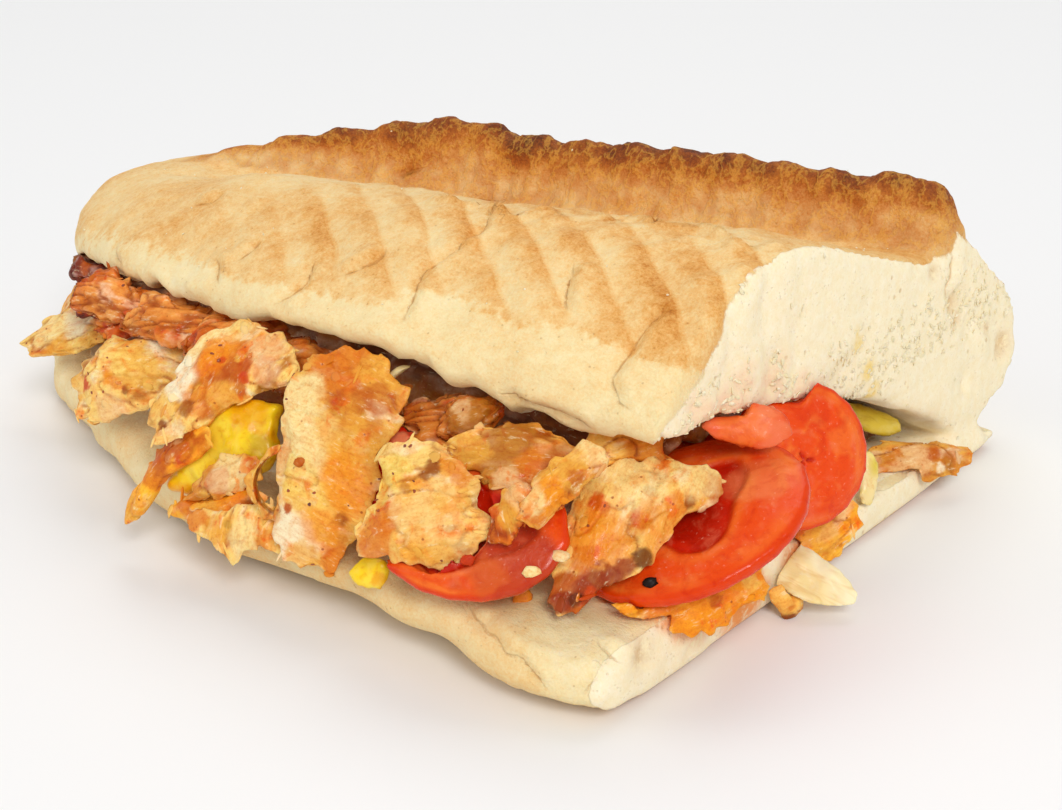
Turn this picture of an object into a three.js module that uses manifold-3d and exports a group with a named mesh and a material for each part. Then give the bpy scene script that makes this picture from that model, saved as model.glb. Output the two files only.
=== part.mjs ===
// Half a white loaf, split along its side and filled with sliced chicken, tomato, pickles and leaves.
// Millimetres, +Z up. +X runs from the rounded end of the half loaf to its cut end, -Y is the open
// mouth of the split and +Y its closed back. The loaf rests on Z = 0.
import * as THREE from 'three';
import { mergeVertices } from 'three/addons/utils/BufferGeometryUtils.js';
import Module from 'manifold-3d';

const wasm = await Module();
wasm.setup();
const { Manifold, Mesh: SolidMesh } = wasm;

// Driving dimensions of the loaf
const LENGTH = 153;
const TIP_X = -LENGTH / 2;
const BASE_HALF_WIDTH = 58.5;
const PLAN_FULLNESS = 2.6;
const PLAN_ROUNDING = 1 / 1.9;
const TIP_ROUNDING = 16;
const BASE_FRONT_THICKNESS = 14;
const BASE_BACK_THICKNESS = 5;
const BASE_BELLY_SHARE = 0.48;
const HINGE_Y_AT_CUT = 47;
const LID_CREST_SHARE = 0.426;
const LIP_THICKNESS = 3;
const CUT_CORNER_TUCK = 3.5;
const BASE_REACH = 1.5;
const CORNER_REACH = 1.3;
const FRONT_CURL = 2.2;
const FURROW_DEPTH = 7.8;
const BACK_DROP_AT_CUT = 3.5;
const GROOVE_PITCH = 6.65;
const GROOVE_START = 5;
const GROOVE_DEPTH = 0.9;
const RIDGE_BUMP_PITCH = 9;

// Stations along X, each [x, value]
const BASE_CENTRE_Y = [[-76.5, -12], [-62, -9.4], [-42, -5], [4, -4.5], [28, -2], [76.5, -1.5]];
const LID_CENTRE_Y = [[-76.5, -5.5], [-34, -1.3], [20, 4], [76.5, 10.5]];
const LID_HALF_WIDTH = [[-76.5, 54], [20, 54], [76.5, 52.5]];
const LIP_Z = [
  [-76.5, 28], [-60, 30.8], [-34, 34.2], [-11, 36], [20, 38.6], [42, 38.6], [60, 38], [76.5, 37.5],
];
const CREST_Z = [
  [-76.5, 34], [-70, 37], [-60, 39], [-46, 41.5], [-23, 46.5], [0, 49], [30, 51.5], [76.5, 54],
];
const RIM_Z = [[-76.5, 27], [-60, 25], [-30, 18], [76.5, 16]];
const HINGE_Y = [[-76.5, 24], [-50, 31], [0, 38], [76.5, HINGE_Y_AT_CUT]];
const HINGE_Z = [[-76.5, 26], [-60, 22], [-48, 17], [-38, 10], [-28, 4], [76.5, 4]];
const RIDGE_Y = [[-76.5, -4], [-60, -5], [-46, 3], [-31, 14], [-10, 23], [24, 27], [50, 31], [76.5, 37]];
const RIDGE_HEIGHT = [
  [-76.5, 0], [-60, 0], [-54, 1.5], [-46, 3.4], [-31, 6], [-14, 8.2], [-5, 7.2], [8, 5.5], [24, 6],
  [50, 5.8], [64, 5.6], [73.7, 5], [76.5, -2],
];
const FURROW_SHARE = [[-76.5, 0], [-54, 0], [-31, 0.8], [76.5, 1]];

// Mesh steps
const LID_STATIONS = 42;
const BASE_STATIONS = 25;
const BASE_POINTS = 24;
const FRONT_WALL_STEPS = 11;
const CROWN_STEPS = 4;
const BACK_STEPS = 4;
const COARSE_BASE_STATIONS = 16;
const COARSE_LID_STATIONS = 20;
const ROUND_CORNERS = 9;
const RIDGE_OFFSETS = [-12, -8, -4.5, -2, 0, 3, 7];
const UNDERSIDE_SHARES = [1, 0.8, 0.6, 0.35, 0.15, 0.02];

// Room left between touching pieces
const GAP = 0.4;
const LEAST_GAP = 0.12;
const HEAP_GAP = 0.8;
const HEAP_BREAD_GAP = 1.3;

// How far a trimmed surface may move while its triangles are made fewer
const LOAF_SIMPLER = 0.03;
const SIMPLER = 0.2;
const HEAP_SIMPLER = 0.4;

const ROUGHNESS = { crust: 0.85, heap: 0.55, filling: 0.5 };

const COLOURS = {
  crust: 0xdfb070,
  chicken: 0xdba468,
  paleChicken: 0xe9c48a,
  redChicken: 0xb5562b,
  charred: 0x6b2a14,
  tomato: 0xcf3a22,
  tomatoFlesh: 0xb93a2c,
  pepper: 0xf0c21d,
  pickle: 0xb7a83a,
  leaf: 0xf0e4b8,
  onion: 0xe7d3a4,
};

function clamp01(value) {
  return Math.min(1, Math.max(0, value));
}

function smoothStep(from, to, value) {
  const share = clamp01((value - from) / (to - from));
  return share * share * (3 - 2 * share);
}

// Value at x on a smooth curve through [x, value] stations
function along(stations, x) {
  const last = stations.length - 1;
  let i = 0;
  while (i < last - 1 && x > stations[i + 1][0]) i += 1;
  const slope = (a, b) => (stations[b][1] - stations[a][1]) / (stations[b][0] - stations[a][0]);
  const span = stations[i + 1][0] - stations[i][0];
  const here = slope(i, i + 1);
  const before = i > 0 ? slope(i - 1, i) : here;
  const after = i < last - 1 ? slope(i + 1, i + 2) : here;
  const startSlope = before * here > 0 ? (before + here) / 2 : 0;
  const endSlope = after * here > 0 ? (after + here) / 2 : 0;
  const t = clamp01((x - stations[i][0]) / span);
  const t2 = t * t;
  const t3 = t2 * t;
  return (2 * t3 - 3 * t2 + 1) * stations[i][1] + (t3 - 2 * t2 + t) * span * startSlope
    + (3 * t2 - 2 * t3) * stations[i + 1][1] + (t3 - t2) * span * endSlope;
}

// Repeatable unevenness between -1 and 1
function waver(seed, a, b = 0) {
  return 0.5 * Math.sin(a * 1.7 + b * 0.9 + seed * 2.1) + 0.3 * Math.sin(a * 3.9 - b * 2.3 + seed * 5.3)
    + 0.2 * Math.sin(a * 7.1 + b * 5.7 + seed * 3.7);
}

// Share of the full half width at x: 0 at the rounded end, 1 at the cut
function planShare(x) {
  const reach = clamp01((x - TIP_X) / LENGTH);
  return Math.pow(1 - Math.pow(1 - reach, PLAN_FULLNESS), PLAN_ROUNDING);
}

// Share of the full height at x, which rounds the end over
function endShare(x) {
  const reach = clamp01((x - TIP_X) / TIP_ROUNDING);
  return Math.sqrt(1 - (1 - reach) * (1 - reach));
}

// Closed body from points and triangles, turned so that its faces point outward
function closedGeometry(points, triangles) {
  let volume = 0;
  for (const [a, b, c] of triangles) {
    volume += points[a].dot(new THREE.Vector3().crossVectors(points[b], points[c]));
  }
  const order = volume < 0 ? [0, 2, 1] : [0, 1, 2];
  const geometry = new THREE.BufferGeometry().setFromPoints(points);
  geometry.setIndex(triangles.flatMap((corner) => order.map((k) => corner[k])));
  return geometry;
}

// Closed body from a point through rings of points to a flat last ring in a plane of constant X
function pointedLoft(apex, rings) {
  const count = rings[0].length;
  const points = [apex, ...rings.flat()];
  const at = (ring, k) => 1 + ring * count + (k % count);
  const triangles = [];
  for (let k = 0; k < count; k += 1) {
    triangles.push([0, at(0, k + 1), at(0, k)]);
  }
  for (let ring = 0; ring < rings.length - 1; ring += 1) {
    for (let k = 0; k < count; k += 1) {
      triangles.push([at(ring, k), at(ring, k + 1), at(ring + 1, k + 1)]);
      triangles.push([at(ring, k), at(ring + 1, k + 1), at(ring + 1, k)]);
    }
  }
  const last = rings.length - 1;
  const outline = rings[last].map((point) => new THREE.Vector2(point.y, point.z));
  const outlineArea = THREE.ShapeUtils.area(outline);
  for (const [a, b, c] of THREE.ShapeUtils.triangulateShape(outline, [])) {
    const sameTurn = THREE.ShapeUtils.area([outline[a], outline[b], outline[c]]) * outlineArea > 0;
    const [second, third] = sameTurn ? [b, c] : [c, b];
    triangles.push([at(last, a), at(last, second), at(last, third)]);
  }
  return closedGeometry(points, triangles);
}

// Solid of a closed geometry, its surface moved outward by grow
function solidOf(geometry, grow = 0) {
  const bare = geometry.clone();
  bare.deleteAttribute('normal');
  bare.deleteAttribute('uv');
  const merged = mergeVertices(bare, 1e-5);
  merged.computeVertexNormals();
  const position = merged.attributes.position;
  const normal = merged.attributes.normal;
  const vertProperties = new Float32Array(position.count * 3);
  for (let i = 0; i < vertProperties.length; i += 1) {
    vertProperties[i] = position.array[i] + grow * normal.array[i];
  }
  const triVerts = new Uint32Array(merged.index.array);
  return new Manifold(new SolidMesh({ numProp: 3, vertProperties, triVerts }));
}

function geometryOf(solid) {
  const mesh = solid.getMesh();
  const geometry = new THREE.BufferGeometry();
  geometry.setAttribute('position', new THREE.BufferAttribute(new Float32Array(mesh.vertProperties), 3));
  geometry.setIndex(new THREE.BufferAttribute(new Uint32Array(mesh.triVerts), 1));
  return geometry;
}

function largestBody(solid) {
  const bodies = solid.decompose();
  bodies.sort((a, b) => b.volume() - a.volume());
  return bodies[0];
}

// What is left of a piece beside the room that is taken, as one body with fewer triangles
function trimmed(solid, taken, tolerance, closest) {
  const plain = largestBody(solid.subtract(taken)).simplify(tolerance);
  return largestBody(closest ? plain.subtract(closest) : plain);
}

// Loaf

function baseTop(x, y) {
  const share = clamp01((y + BASE_HALF_WIDTH) / (BASE_HALF_WIDTH + HINGE_Y_AT_CUT));
  return BASE_FRONT_THICKNESS - (BASE_FRONT_THICKNESS - BASE_BACK_THICKNESS) * Math.pow(share, 0.8);
}

function baseRing(x) {
  const halfWidth = BASE_HALF_WIDTH * planShare(x);
  const centre = along(BASE_CENTRE_Y, x);
  const height = endShare(x);
  const frontCurl = FRONT_CURL * smoothStep(10, 32, x) * (1 - smoothStep(52, 66, x));
  const ring = [];
  for (let k = 0; k < BASE_POINTS; k += 1) {
    const angle = (2 * Math.PI * (k + 0.5)) / BASE_POINTS;
    const across = Math.sign(Math.cos(angle)) * Math.sqrt(Math.abs(Math.cos(angle)));
    const upward = Math.sign(Math.sin(angle)) * Math.sqrt(Math.abs(Math.sin(angle)));
    const frontShare = smoothStep(0.5, 1, -across);
    const tuck = CUT_CORNER_TUCK * smoothStep(66, 76.5, x) ** 2;
    const fold = frontShare * (height * 0.9 * waver(1, x * 0.32, upward) - tuck);
    const y = centre + across * halfWidth - fold;
    const top = baseTop(x, y) + frontShare * 0.8 * waver(2, x * 0.25);
    const middle = BASE_BELLY_SHARE * top;
    const curl = upward < 0 ? frontCurl * smoothStep(0.6, 0.95, -across) : 0;
    const z = middle + height * (upward > 0 ? upward * (top - middle) : upward * middle) + curl;
    const reach = smoothStep(60, 76.5, x) * (BASE_REACH + CORNER_REACH * smoothStep(0, -45, y));
    ring.push(new THREE.Vector3(x + reach, y, Math.max(0, z)));
  }
  return ring;
}

function lidCrestY(x) {
  return along(LID_CENTRE_Y, x) - LID_CREST_SHARE * along(LID_HALF_WIDTH, x) * planShare(x);
}

// Pressed grooves, furrow and browned ridge of the crust, as height over the plain dome
function lidRelief(x, y) {
  const off = y - along(RIDGE_Y, x);
  const bumps = 1 + 0.14 * Math.sin((2 * Math.PI * x) / RIDGE_BUMP_PITCH) + 0.06 * waver(3, x * 0.4);
  const ridgeShare = off < 0 ? smoothStep(-5.5, 0, off) : 1 - smoothStep(1, 10, off);
  const furrowSlope = smoothStep(lidCrestY(x) - 4, along(RIDGE_Y, x) - 11, y) * (1 - smoothStep(-5, 0, off));
  const furrowShare = along(FURROW_SHARE, x) * furrowSlope;
  const backDrop = BACK_DROP_AT_CUT * smoothStep(64, 76.5, x) * smoothStep(2, 9, off);
  const groove = -Math.cos((2 * Math.PI * (0.6 * x + 0.8 * y - GROOVE_START)) / GROOVE_PITCH);
  const grooveShare = smoothStep(-44, -34, y) * (1 - smoothStep(-6, 6, y)) * smoothStep(0, 30, x);
  return along(RIDGE_HEIGHT, x) * bumps * ridgeShare - FURROW_DEPTH * furrowShare - backDrop
    + GROOVE_DEPTH * groove * grooveShare + 0.5 * waver(4, x * 0.12, y * 0.16);
}

function lidRing(x) {
  const share = planShare(x);
  const halfWidth = along(LID_HALF_WIDTH, x) * share;
  const centre = along(LID_CENTRE_Y, x);
  const lipY = centre - halfWidth;
  const crestY = lidCrestY(x);
  const rimY = centre + halfWidth;
  const lipZ = along(LIP_Z, x) + 0.7 * waver(5, x * 0.3);
  const crestZ = along(CREST_Z, x);
  const rimZ = along(RIM_Z, x);
  const hingeY = Math.min(along(HINGE_Y, x), rimY - 5 * share);
  const hingeZ = along(HINGE_Z, x);
  const ridgeY = along(RIDGE_Y, x);
  const section = [];
  for (let k = 0; k < FRONT_WALL_STEPS; k += 1) {
    const s = Math.cos((k / FRONT_WALL_STEPS) * (Math.PI / 2));
    const y = crestY - s * (crestY - lipY);
    const bulge = 1.2 * waver(6, x * 0.13, k * 0.5) * Math.sin((Math.PI * k) / FRONT_WALL_STEPS);
    const z = lipZ + (crestZ - lipZ) * Math.pow(1 - Math.pow(s, 1.7), 1 / 1.3);
    section.push([y - bulge, z + lidRelief(x, y) * smoothStep(0, 3, k)]);
  }
  const dome = (y) => {
    const reach = clamp01((y - crestY) / (rimY - crestY));
    return rimZ + (crestZ - rimZ) * Math.sqrt(1 - Math.pow(reach, 2.1));
  };
  const crown = [];
  const ridgeFoot = ridgeY + RIDGE_OFFSETS[0] * share;
  for (let k = 0; k < CROWN_STEPS; k += 1) {
    crown.push(crestY + (ridgeFoot - crestY) * (k / CROWN_STEPS));
  }
  const ridgeBack = ridgeY + RIDGE_OFFSETS[RIDGE_OFFSETS.length - 1] * share;
  for (const offset of RIDGE_OFFSETS) crown.push(ridgeY + offset * share);
  for (let k = 1; k <= BACK_STEPS; k += 1) {
    crown.push(ridgeBack + (rimY - ridgeBack) * Math.sin((k / BACK_STEPS) * (Math.PI / 2)));
  }
  for (const y of crown) {
    section.push([y, dome(y) + lidRelief(x, y) * (1 - smoothStep(rimY - 12 * share, rimY, y))]);
  }
  section.push([rimY - 0.15 * (rimY - hingeY), hingeZ + 0.45 * (rimZ - hingeZ)]);
  for (const part of UNDERSIDE_SHARES) {
    const z = hingeZ + (lipZ - LIP_THICKNESS - hingeZ) * (1 - Math.pow(part, 2));
    section.push([lipY + part * (hingeY - lipY), z]);
  }
  const height = endShare(x);
  return section.map(([y, z]) => new THREE.Vector3(x, y, LIP_Z[0][1] + height * (z - LIP_Z[0][1])));
}

// Stations from the rounded end to the cut, closer together near both
function loftStations(count) {
  const stations = [];
  for (let i = 1; i <= count; i += 1) {
    const share = i / count;
    const reach = 0.6 * Math.pow(share, 1.3) + 0.2 * (1 - Math.cos(Math.PI * share));
    stations.push(TIP_X + LENGTH * reach);
  }
  return stations;
}

function breadParts(baseStations = BASE_STATIONS, lidStations = LID_STATIONS) {
  const baseApex = new THREE.Vector3(TIP_X, BASE_CENTRE_Y[0][1], BASE_BELLY_SHARE * BASE_FRONT_THICKNESS);
  const lidApex = new THREE.Vector3(TIP_X, LID_CENTRE_Y[0][1], LIP_Z[0][1]);
  return [
    pointedLoft(baseApex, loftStations(baseStations).map(baseRing)),
    pointedLoft(lidApex, loftStations(lidStations).map(lidRing)),
  ];
}

// Filling

// Heap of chicken that runs through the split, with an uneven front
const HEAP = { from: -62, to: 68, stations: 18, points: 14, front: -35.5, floor: 3, roof: 37 };

function heapRing(x) {
  const ring = [];
  const share = planShare(x);
  const front = Math.max(HEAP.front, along(BASE_CENTRE_Y, x) - BASE_HALF_WIDTH * share + 7);
  const back = Math.min(along(HINGE_Y, x), along(LID_CENTRE_Y, x) + along(LID_HALF_WIDTH, x) * share - 4);
  for (let k = 0; k < HEAP.points; k += 1) {
    const angle = (2 * Math.PI * k) / HEAP.points;
    const across = Math.sign(Math.cos(angle)) * Math.sqrt(Math.abs(Math.cos(angle)));
    const upward = Math.sign(Math.sin(angle)) * Math.sqrt(Math.abs(Math.sin(angle)));
    const lump = 1.6 * waver(7, x * 0.35, k) * smoothStep(0, 0.6, -across);
    const y = (front + back + across * (back - front)) / 2 - lump;
    const z = (HEAP.roof + HEAP.floor + upward * (HEAP.roof - HEAP.floor)) / 2;
    ring.push(new THREE.Vector3(x, y, z));
  }
  return ring;
}

function heapGeometry() {
  const rings = [];
  for (let i = 0; i <= HEAP.stations; i += 1) {
    rings.push(heapRing(HEAP.from + ((HEAP.to - HEAP.from) * i) / HEAP.stations));
  }
  return pointedLoft(new THREE.Vector3(HEAP.from - 1, -4, (HEAP.roof + HEAP.floor) / 2), rings);
}

// Slice with an outline through corner points in its own plane, thinning to a torn edge
function sliceGeometry(piece) {
  const { corners, thickness, seed, bend = 0, curl = 0, ripple = 0.5 } = piece;
  const { ragged = 0.04, rings = 2, steps = 18 } = piece;
  const around = corners.map(([p, q]) => new THREE.Vector3(p, q, 0));
  const curve = new THREE.CatmullRomCurve3(around, true, 'centripetal');
  const outline = curve.getSpacedPoints(steps).slice(0, steps);
  const centre = outline.reduce((sum, point) => sum.add(point), new THREE.Vector3()).divideScalar(steps);
  const reach = Math.max(...outline.map((point) => point.distanceTo(centre)));
  const dish = (p, q) => bend * (p / reach) ** 2 + curl * (q / reach) ** 2;
  const middle = (p, q) => dish(p, q) + ripple * waver(seed, p * 0.35, q * 0.35);
  const points = [];
  for (const side of [1, -1]) {
    points.push(new THREE.Vector3(centre.x, centre.y, middle(centre.x, centre.y) + (side * thickness) / 2));
    for (let ring = 1; ring <= rings; ring += 1) {
      const share = ring / rings;
      const half = (thickness / 2) * (ring === rings ? 0.42 : 1 + 0.15 * waver(seed + 1, ring));
      outline.forEach((point, k) => {
        const tear = 1 + (ring === rings ? ragged * waver(seed + 2, k * 1.9) : 0);
        const p = centre.x + (point.x - centre.x) * share * tear;
        const q = centre.y + (point.y - centre.y) * share * tear;
        points.push(new THREE.Vector3(p, q, middle(p, q) + side * half));
      });
    }
  }
  const faceCount = 1 + rings * steps;
  const at = (side, ring, k) => side * faceCount + (ring === 0 ? 0 : 1 + (ring - 1) * steps + (k % steps));
  const triangles = [];
  for (let k = 0; k < steps; k += 1) {
    triangles.push([at(0, 0, 0), at(0, 1, k), at(0, 1, k + 1)], [at(1, 0, 0), at(1, 1, k + 1), at(1, 1, k)]);
    for (let ring = 1; ring < rings; ring += 1) {
      triangles.push([at(0, ring, k), at(0, ring + 1, k), at(0, ring + 1, k + 1)]);
      triangles.push([at(0, ring, k), at(0, ring + 1, k + 1), at(0, ring, k + 1)]);
      triangles.push([at(1, ring, k), at(1, ring + 1, k + 1), at(1, ring + 1, k)]);
      triangles.push([at(1, ring, k), at(1, ring, k + 1), at(1, ring + 1, k + 1)]);
    }
    triangles.push([at(0, rings, k), at(1, rings, k), at(1, rings, k + 1)]);
    triangles.push([at(0, rings, k), at(1, rings, k + 1), at(0, rings, k + 1)]);
  }
  return closedGeometry(points, triangles);
}

// Corner points of a round slice, its height a share of its width
function roundCorners(radius, squash) {
  const corners = [];
  for (let i = 0; i < ROUND_CORNERS; i += 1) {
    const angle = (2 * Math.PI * i) / ROUND_CORNERS;
    corners.push([radius * Math.cos(angle), radius * squash * Math.sin(angle)]);
  }
  return corners;
}

// Ribbon of width and thickness that follows an arc, for curled rings and bent shreds
function ribbonGeometry({ radius, from, to, width, thickness, seed, steps = 10 }) {
  const points = [];
  for (let i = 0; i <= steps; i += 1) {
    const share = i / steps;
    const angle = THREE.MathUtils.degToRad(from + (to - from) * share);
    const slim = 0.45 + 0.55 * Math.sin(Math.PI * (0.15 + 0.7 * share)) + 0.1 * waver(seed, i);
    for (const [out, side] of [[-1, -1], [1, -1], [1, 1], [-1, 1]]) {
      const reach = radius + (out * thickness * slim) / 2;
      const level = (side * width * slim) / 2;
      points.push(new THREE.Vector3(reach * Math.cos(angle), reach * Math.sin(angle), level));
    }
  }
  const triangles = [[0, 1, 2], [0, 2, 3]];
  const end = steps * 4;
  triangles.push([end, end + 2, end + 1], [end, end + 3, end + 2]);
  for (let i = 0; i < steps; i += 1) {
    for (let k = 0; k < 4; k += 1) {
      const a = i * 4 + k;
      const b = i * 4 + ((k + 1) % 4);
      triangles.push([a, a + 4, b + 4], [a, b + 4, b]);
    }
  }
  return closedGeometry(points, triangles);
}

// Place of a piece: its middle, where its face looks (degrees round Z, degrees up) and its turn in that plane
function placement({ at, face: [round, up], turn = 0 }) {
  const azimuth = THREE.MathUtils.degToRad(round);
  const elevation = THREE.MathUtils.degToRad(up);
  const spin = THREE.MathUtils.degToRad(turn);
  const out = new THREE.Vector3(
    Math.sin(azimuth) * Math.cos(elevation),
    -Math.cos(azimuth) * Math.cos(elevation),
    Math.sin(elevation),
  );
  const level = new THREE.Vector3(Math.cos(azimuth), Math.sin(azimuth), 0);
  const steep = new THREE.Vector3().crossVectors(out, level);
  const lengthwise = level.clone().multiplyScalar(Math.cos(spin)).addScaledVector(steep, Math.sin(spin));
  const across = new THREE.Vector3().crossVectors(out, lengthwise);
  return new THREE.Matrix4().makeBasis(lengthwise, across, out).setPosition(...at);
}

// Slices tucked in a row just under the lip of the lid
function rowUnderLip() {
  const row = { count: 6, from: -30, step: 14.5, y: -45, z: 28.5, raised: 4, raise: 2.2 };
  const slices = [];
  for (let i = 0; i < row.count; i += 1) {
    const x = row.from + i * row.step;
    const z = row.z + (i < row.raised ? row.raise : 0);
    const uneven = waver(50 + i, i * 1.3);
    slices.push({
      name: `chicken_slice_tucked_${i + 1}`,
      colour: i % 2 ? COLOURS.chicken : COLOURS.redChicken,
      at: [x, row.y + uneven + 3 * (1 - planShare(x)), z + 1.5 * uneven],
      face: [12 + 14 * uneven, 48],
      turn: 20 * uneven,
      thickness: 3.2,
      ragged: 0.08,
      seed: 51 + i,
      steps: 11,
      corners: [[-8, -4], [-6, 3], [1, 5], [8, 3], [7, -4], [0, -5]],
    });
  }
  return slices;
}

// Slices that show in the split round the closed end of the loaf
function slicesRoundEnd() {
  const end = { count: 6, from: 215, step: 22, inset: 5, z: 16.5 };
  const slices = [];
  for (let i = 0; i < end.count; i += 1) {
    const round = end.from + i * end.step;
    const angle = THREE.MathUtils.degToRad(round);
    const uneven = waver(60 + i, i * 1.7);
    const x = -46 + (30.5 - end.inset) * Math.sin(angle) + 2 * uneven;
    const y = -7 - (34 - end.inset) * Math.cos(angle);
    slices.push({
      name: `chicken_slice_end_${i + 1}`,
      colour: i % 2 ? COLOURS.paleChicken : COLOURS.chicken,
      at: [x, y, end.z + uneven],
      face: [round, 30 + 15 * uneven],
      turn: 25 * uneven,
      thickness: 3.4,
      ragged: 0.08,
      seed: 61 + i,
      steps: 12,
      corners: [[-8, -4], [-6, 4], [1, 6], [8, 3], [7, -4], [0, -5]],
    });
  }
  return slices;
}

// Pieces of the filling from the outermost inward: each is trimmed by those before it
const FILLING = [
  {
    name: 'chicken_slice_triangle', colour: COLOURS.paleChicken, at: [74, -42, 21], face: [45, 42], turn: 25,
    thickness: 3, bend: -1.5, seed: 11, steps: 22,
    corners: [
      [-3, 10.5], [1, 10.5], [6, 9], [11.5, 6], [15, 2], [12, -0.5], [7.5, 0],
      [2.5, -2], [-1.5, -3.7], [-7, -3], [-10, -4.7], [-15, -3.3], [-12, 0.2], [-8, 6.5],
    ],
  },
  {
    name: 'chicken_strip_hanging', colour: COLOURS.redChicken, at: [4, -62, 16], face: [10, 10],
    thickness: 3, bend: -1, ripple: 0.3, seed: 12, steps: 16,
    corners: [[6, 8], [7, 6], [-1, -1], [-5, -7], [-9, -10], [-6, -2], [-1, 5]],
  },
  {
    name: 'chicken_slice_large', colour: COLOURS.chicken, at: [31.5, -55, 25], face: [15, 30], turn: -90,
    thickness: 3.4, bend: -2, seed: 13, steps: 22,
    corners: [
      [-13, -8], [-15, 1], [-11, 8], [-7, 9], [-2, 7], [3, 7],
      [13, 5], [17, -2], [14, -7], [3, -8], [-6, -10],
    ],
  },
  {
    name: 'chicken_slice_pale', colour: COLOURS.paleChicken, at: [51, -58, 24], face: [20, 32],
    thickness: 3.2, bend: -1.5, seed: 14, steps: 20,
    corners: [[-8, 6], [-1, 9], [6, 5], [9, -2], [4, -8], [-2, -7], [-8, -8], [-9, -3], [-6, 2]],
  },
  {
    name: 'chicken_edge_orange', colour: COLOURS.redChicken, at: [63, -54, 26], face: [25, 35],
    thickness: 3, seed: 15, steps: 12,
    corners: [[-2, 3], [3, 4], [7, 2], [2, -1], [0, -5], [-3, -4]],
  },
  {
    name: 'chicken_shred_diagonal', colour: COLOURS.chicken, at: [67, -50, 30], face: [35, 40], turn: 40,
    thickness: 3.4, seed: 16, steps: 14,
    corners: [[7, 2], [7, -2], [0, -2], [-6, -3], [-7, 0], [0, 2]],
  },
  {
    name: 'chicken_slice_folded', colour: COLOURS.chicken, at: [9, -54, 30], face: [15, 42],
    thickness: 3.4, bend: 1.5, curl: -1, seed: 17,
    corners: [[-10, -9], [-8, 0], [-5, 7.5], [8, 6.5], [11.5, 1.5], [4, -2], [-1, -6.5], [-6, -12]],
  },
  {
    name: 'chicken_wedge_spotted', colour: COLOURS.paleChicken, at: [-20, -51, 21], face: [10, 38], turn: 35,
    thickness: 5, bend: -1.5, seed: 18,
    corners: [[-10, 1], [-9, 5], [-3, 7], [4, 6], [12, 4], [12, -2], [9, -5], [-1, -6], [-9, -3]],
  },
  {
    name: 'chicken_slice_left', colour: COLOURS.paleChicken, at: [-51, -39, 17], face: [5, 55],
    thickness: 3, bend: 1, seed: 19,
    corners: [[-7, 1], [-2, 6], [8, 7], [11, 4], [6, -2], [-1, -6], [-8, -5]],
  },
  {
    name: 'tomato_slice_front', colour: COLOURS.tomato, at: [75, -31.7, 20], face: [-7, 64], turn: 60,
    thickness: 4.6, ripple: 0.2, ragged: 0, rings: 3, steps: 24, seed: 20,
    corners: roundCorners(17, 0.8),
  },
  {
    name: 'tomato_slice_left', colour: COLOURS.tomato, at: [56, -55, 22], face: [20, 45],
    thickness: 4.2, ripple: 0.2, ragged: 0, steps: 16, seed: 21,
    corners: roundCorners(14, 0.72),
  },
  {
    name: 'tomato_slice_end', colour: COLOURS.tomato, at: [77.5, -9, 22], face: [60, 20],
    thickness: 4.4, ripple: 0.2, ragged: 0, rings: 3, steps: 20, seed: 22,
    corners: roundCorners(10.8, 1),
  },
  {
    name: 'tomato_scrap_pale', colour: COLOURS.tomatoFlesh, at: [77, -23, 31], face: [45, 30],
    thickness: 3, seed: 23, steps: 14,
    corners: [[-6, 0.5], [-4, 2.5], [3.6, 3.8], [6.3, 2.3], [7, -1.5], [4.3, -3.6], [0.3, -2.6], [-4, -1.5]],
  },
  {
    name: 'tomato_slice_back', colour: COLOURS.tomatoFlesh, at: [63, -20, 22], face: [40, 60],
    thickness: 4, ripple: 0.2, ragged: 0.02, seed: 24, steps: 16,
    corners: [[-12, -3], [-8, 3], [0, 4], [12, 1], [11, -4], [3, -6]],
  },
  {
    name: 'tomato_piece_small', colour: COLOURS.tomatoFlesh, at: [37.5, -51, 22], face: [20, 25],
    thickness: 3.6, seed: 25, steps: 12,
    corners: [[-3, 6], [3, 7], [5, 4], [3, -3], [-2, -8], [-4, -3]],
  },
  {
    name: 'pickled_pepper', colour: COLOURS.pepper, at: [9, -56, 20], face: [10, 22], turn: -50,
    thickness: 5, ripple: 0.4, seed: 26, steps: 16,
    corners: [[-4, 6], [-1, 11], [3, 9], [7, 5], [4, -6], [2, -11], [-1, -11], [-5, -3]],
  },
  {
    name: 'chicken_ring_curled', colour: COLOURS.chicken, at: [25, -58.5, 19.5], face: [30, 15],
    radius: 5.2, from: 75, to: 285, width: 3, thickness: 1.4, seed: 27,
  },
  {
    name: 'chicken_layer_upper', colour: COLOURS.paleChicken, at: [13, -60, 17], face: [10, 15], turn: 20,
    thickness: 2.4, seed: 28, steps: 12,
    corners: [[-8, -2], [-2, 2], [8, 3], [8, 0], [0, -2]],
  },
  {
    name: 'chicken_layer_lower', colour: COLOURS.redChicken, at: [12, -60.5, 13.5], face: [10, 20], turn: 12,
    thickness: 2.6, seed: 29, steps: 14,
    corners: [[-9, -2], [-3, 2], [8, 2], [8, -1], [2, -4], [-4, -3]],
  },
  {
    name: 'chicken_flake_jagged', colour: COLOURS.paleChicken, at: [17, -62, 12], face: [10, 25], turn: 8,
    thickness: 1.8, ragged: 0.12, seed: 30, steps: 16,
    corners: [[-9, 0], [-3, 2], [8, 3], [9, -3], [4, -3], [1, -6], [-2, -4]],
  },
  {
    name: 'chicken_slice_tan', colour: COLOURS.chicken, at: [58, -48, 30], face: [20, 45],
    thickness: 3, seed: 31, steps: 16,
    corners: [[-11, -1], [-4, 4], [0, 5], [8, 3], [10, -2], [4, -6], [-4, -6]],
  },
  {
    name: 'chicken_slice_inner_end', colour: COLOURS.chicken, at: [67.5, -37, 27.5], face: [60, 25],
    thickness: 3.4, seed: 45, steps: 12,
    corners: [[-8, -4], [-6, 4], [0, 6], [7, 4], [6, -4]],
  },
  {
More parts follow.
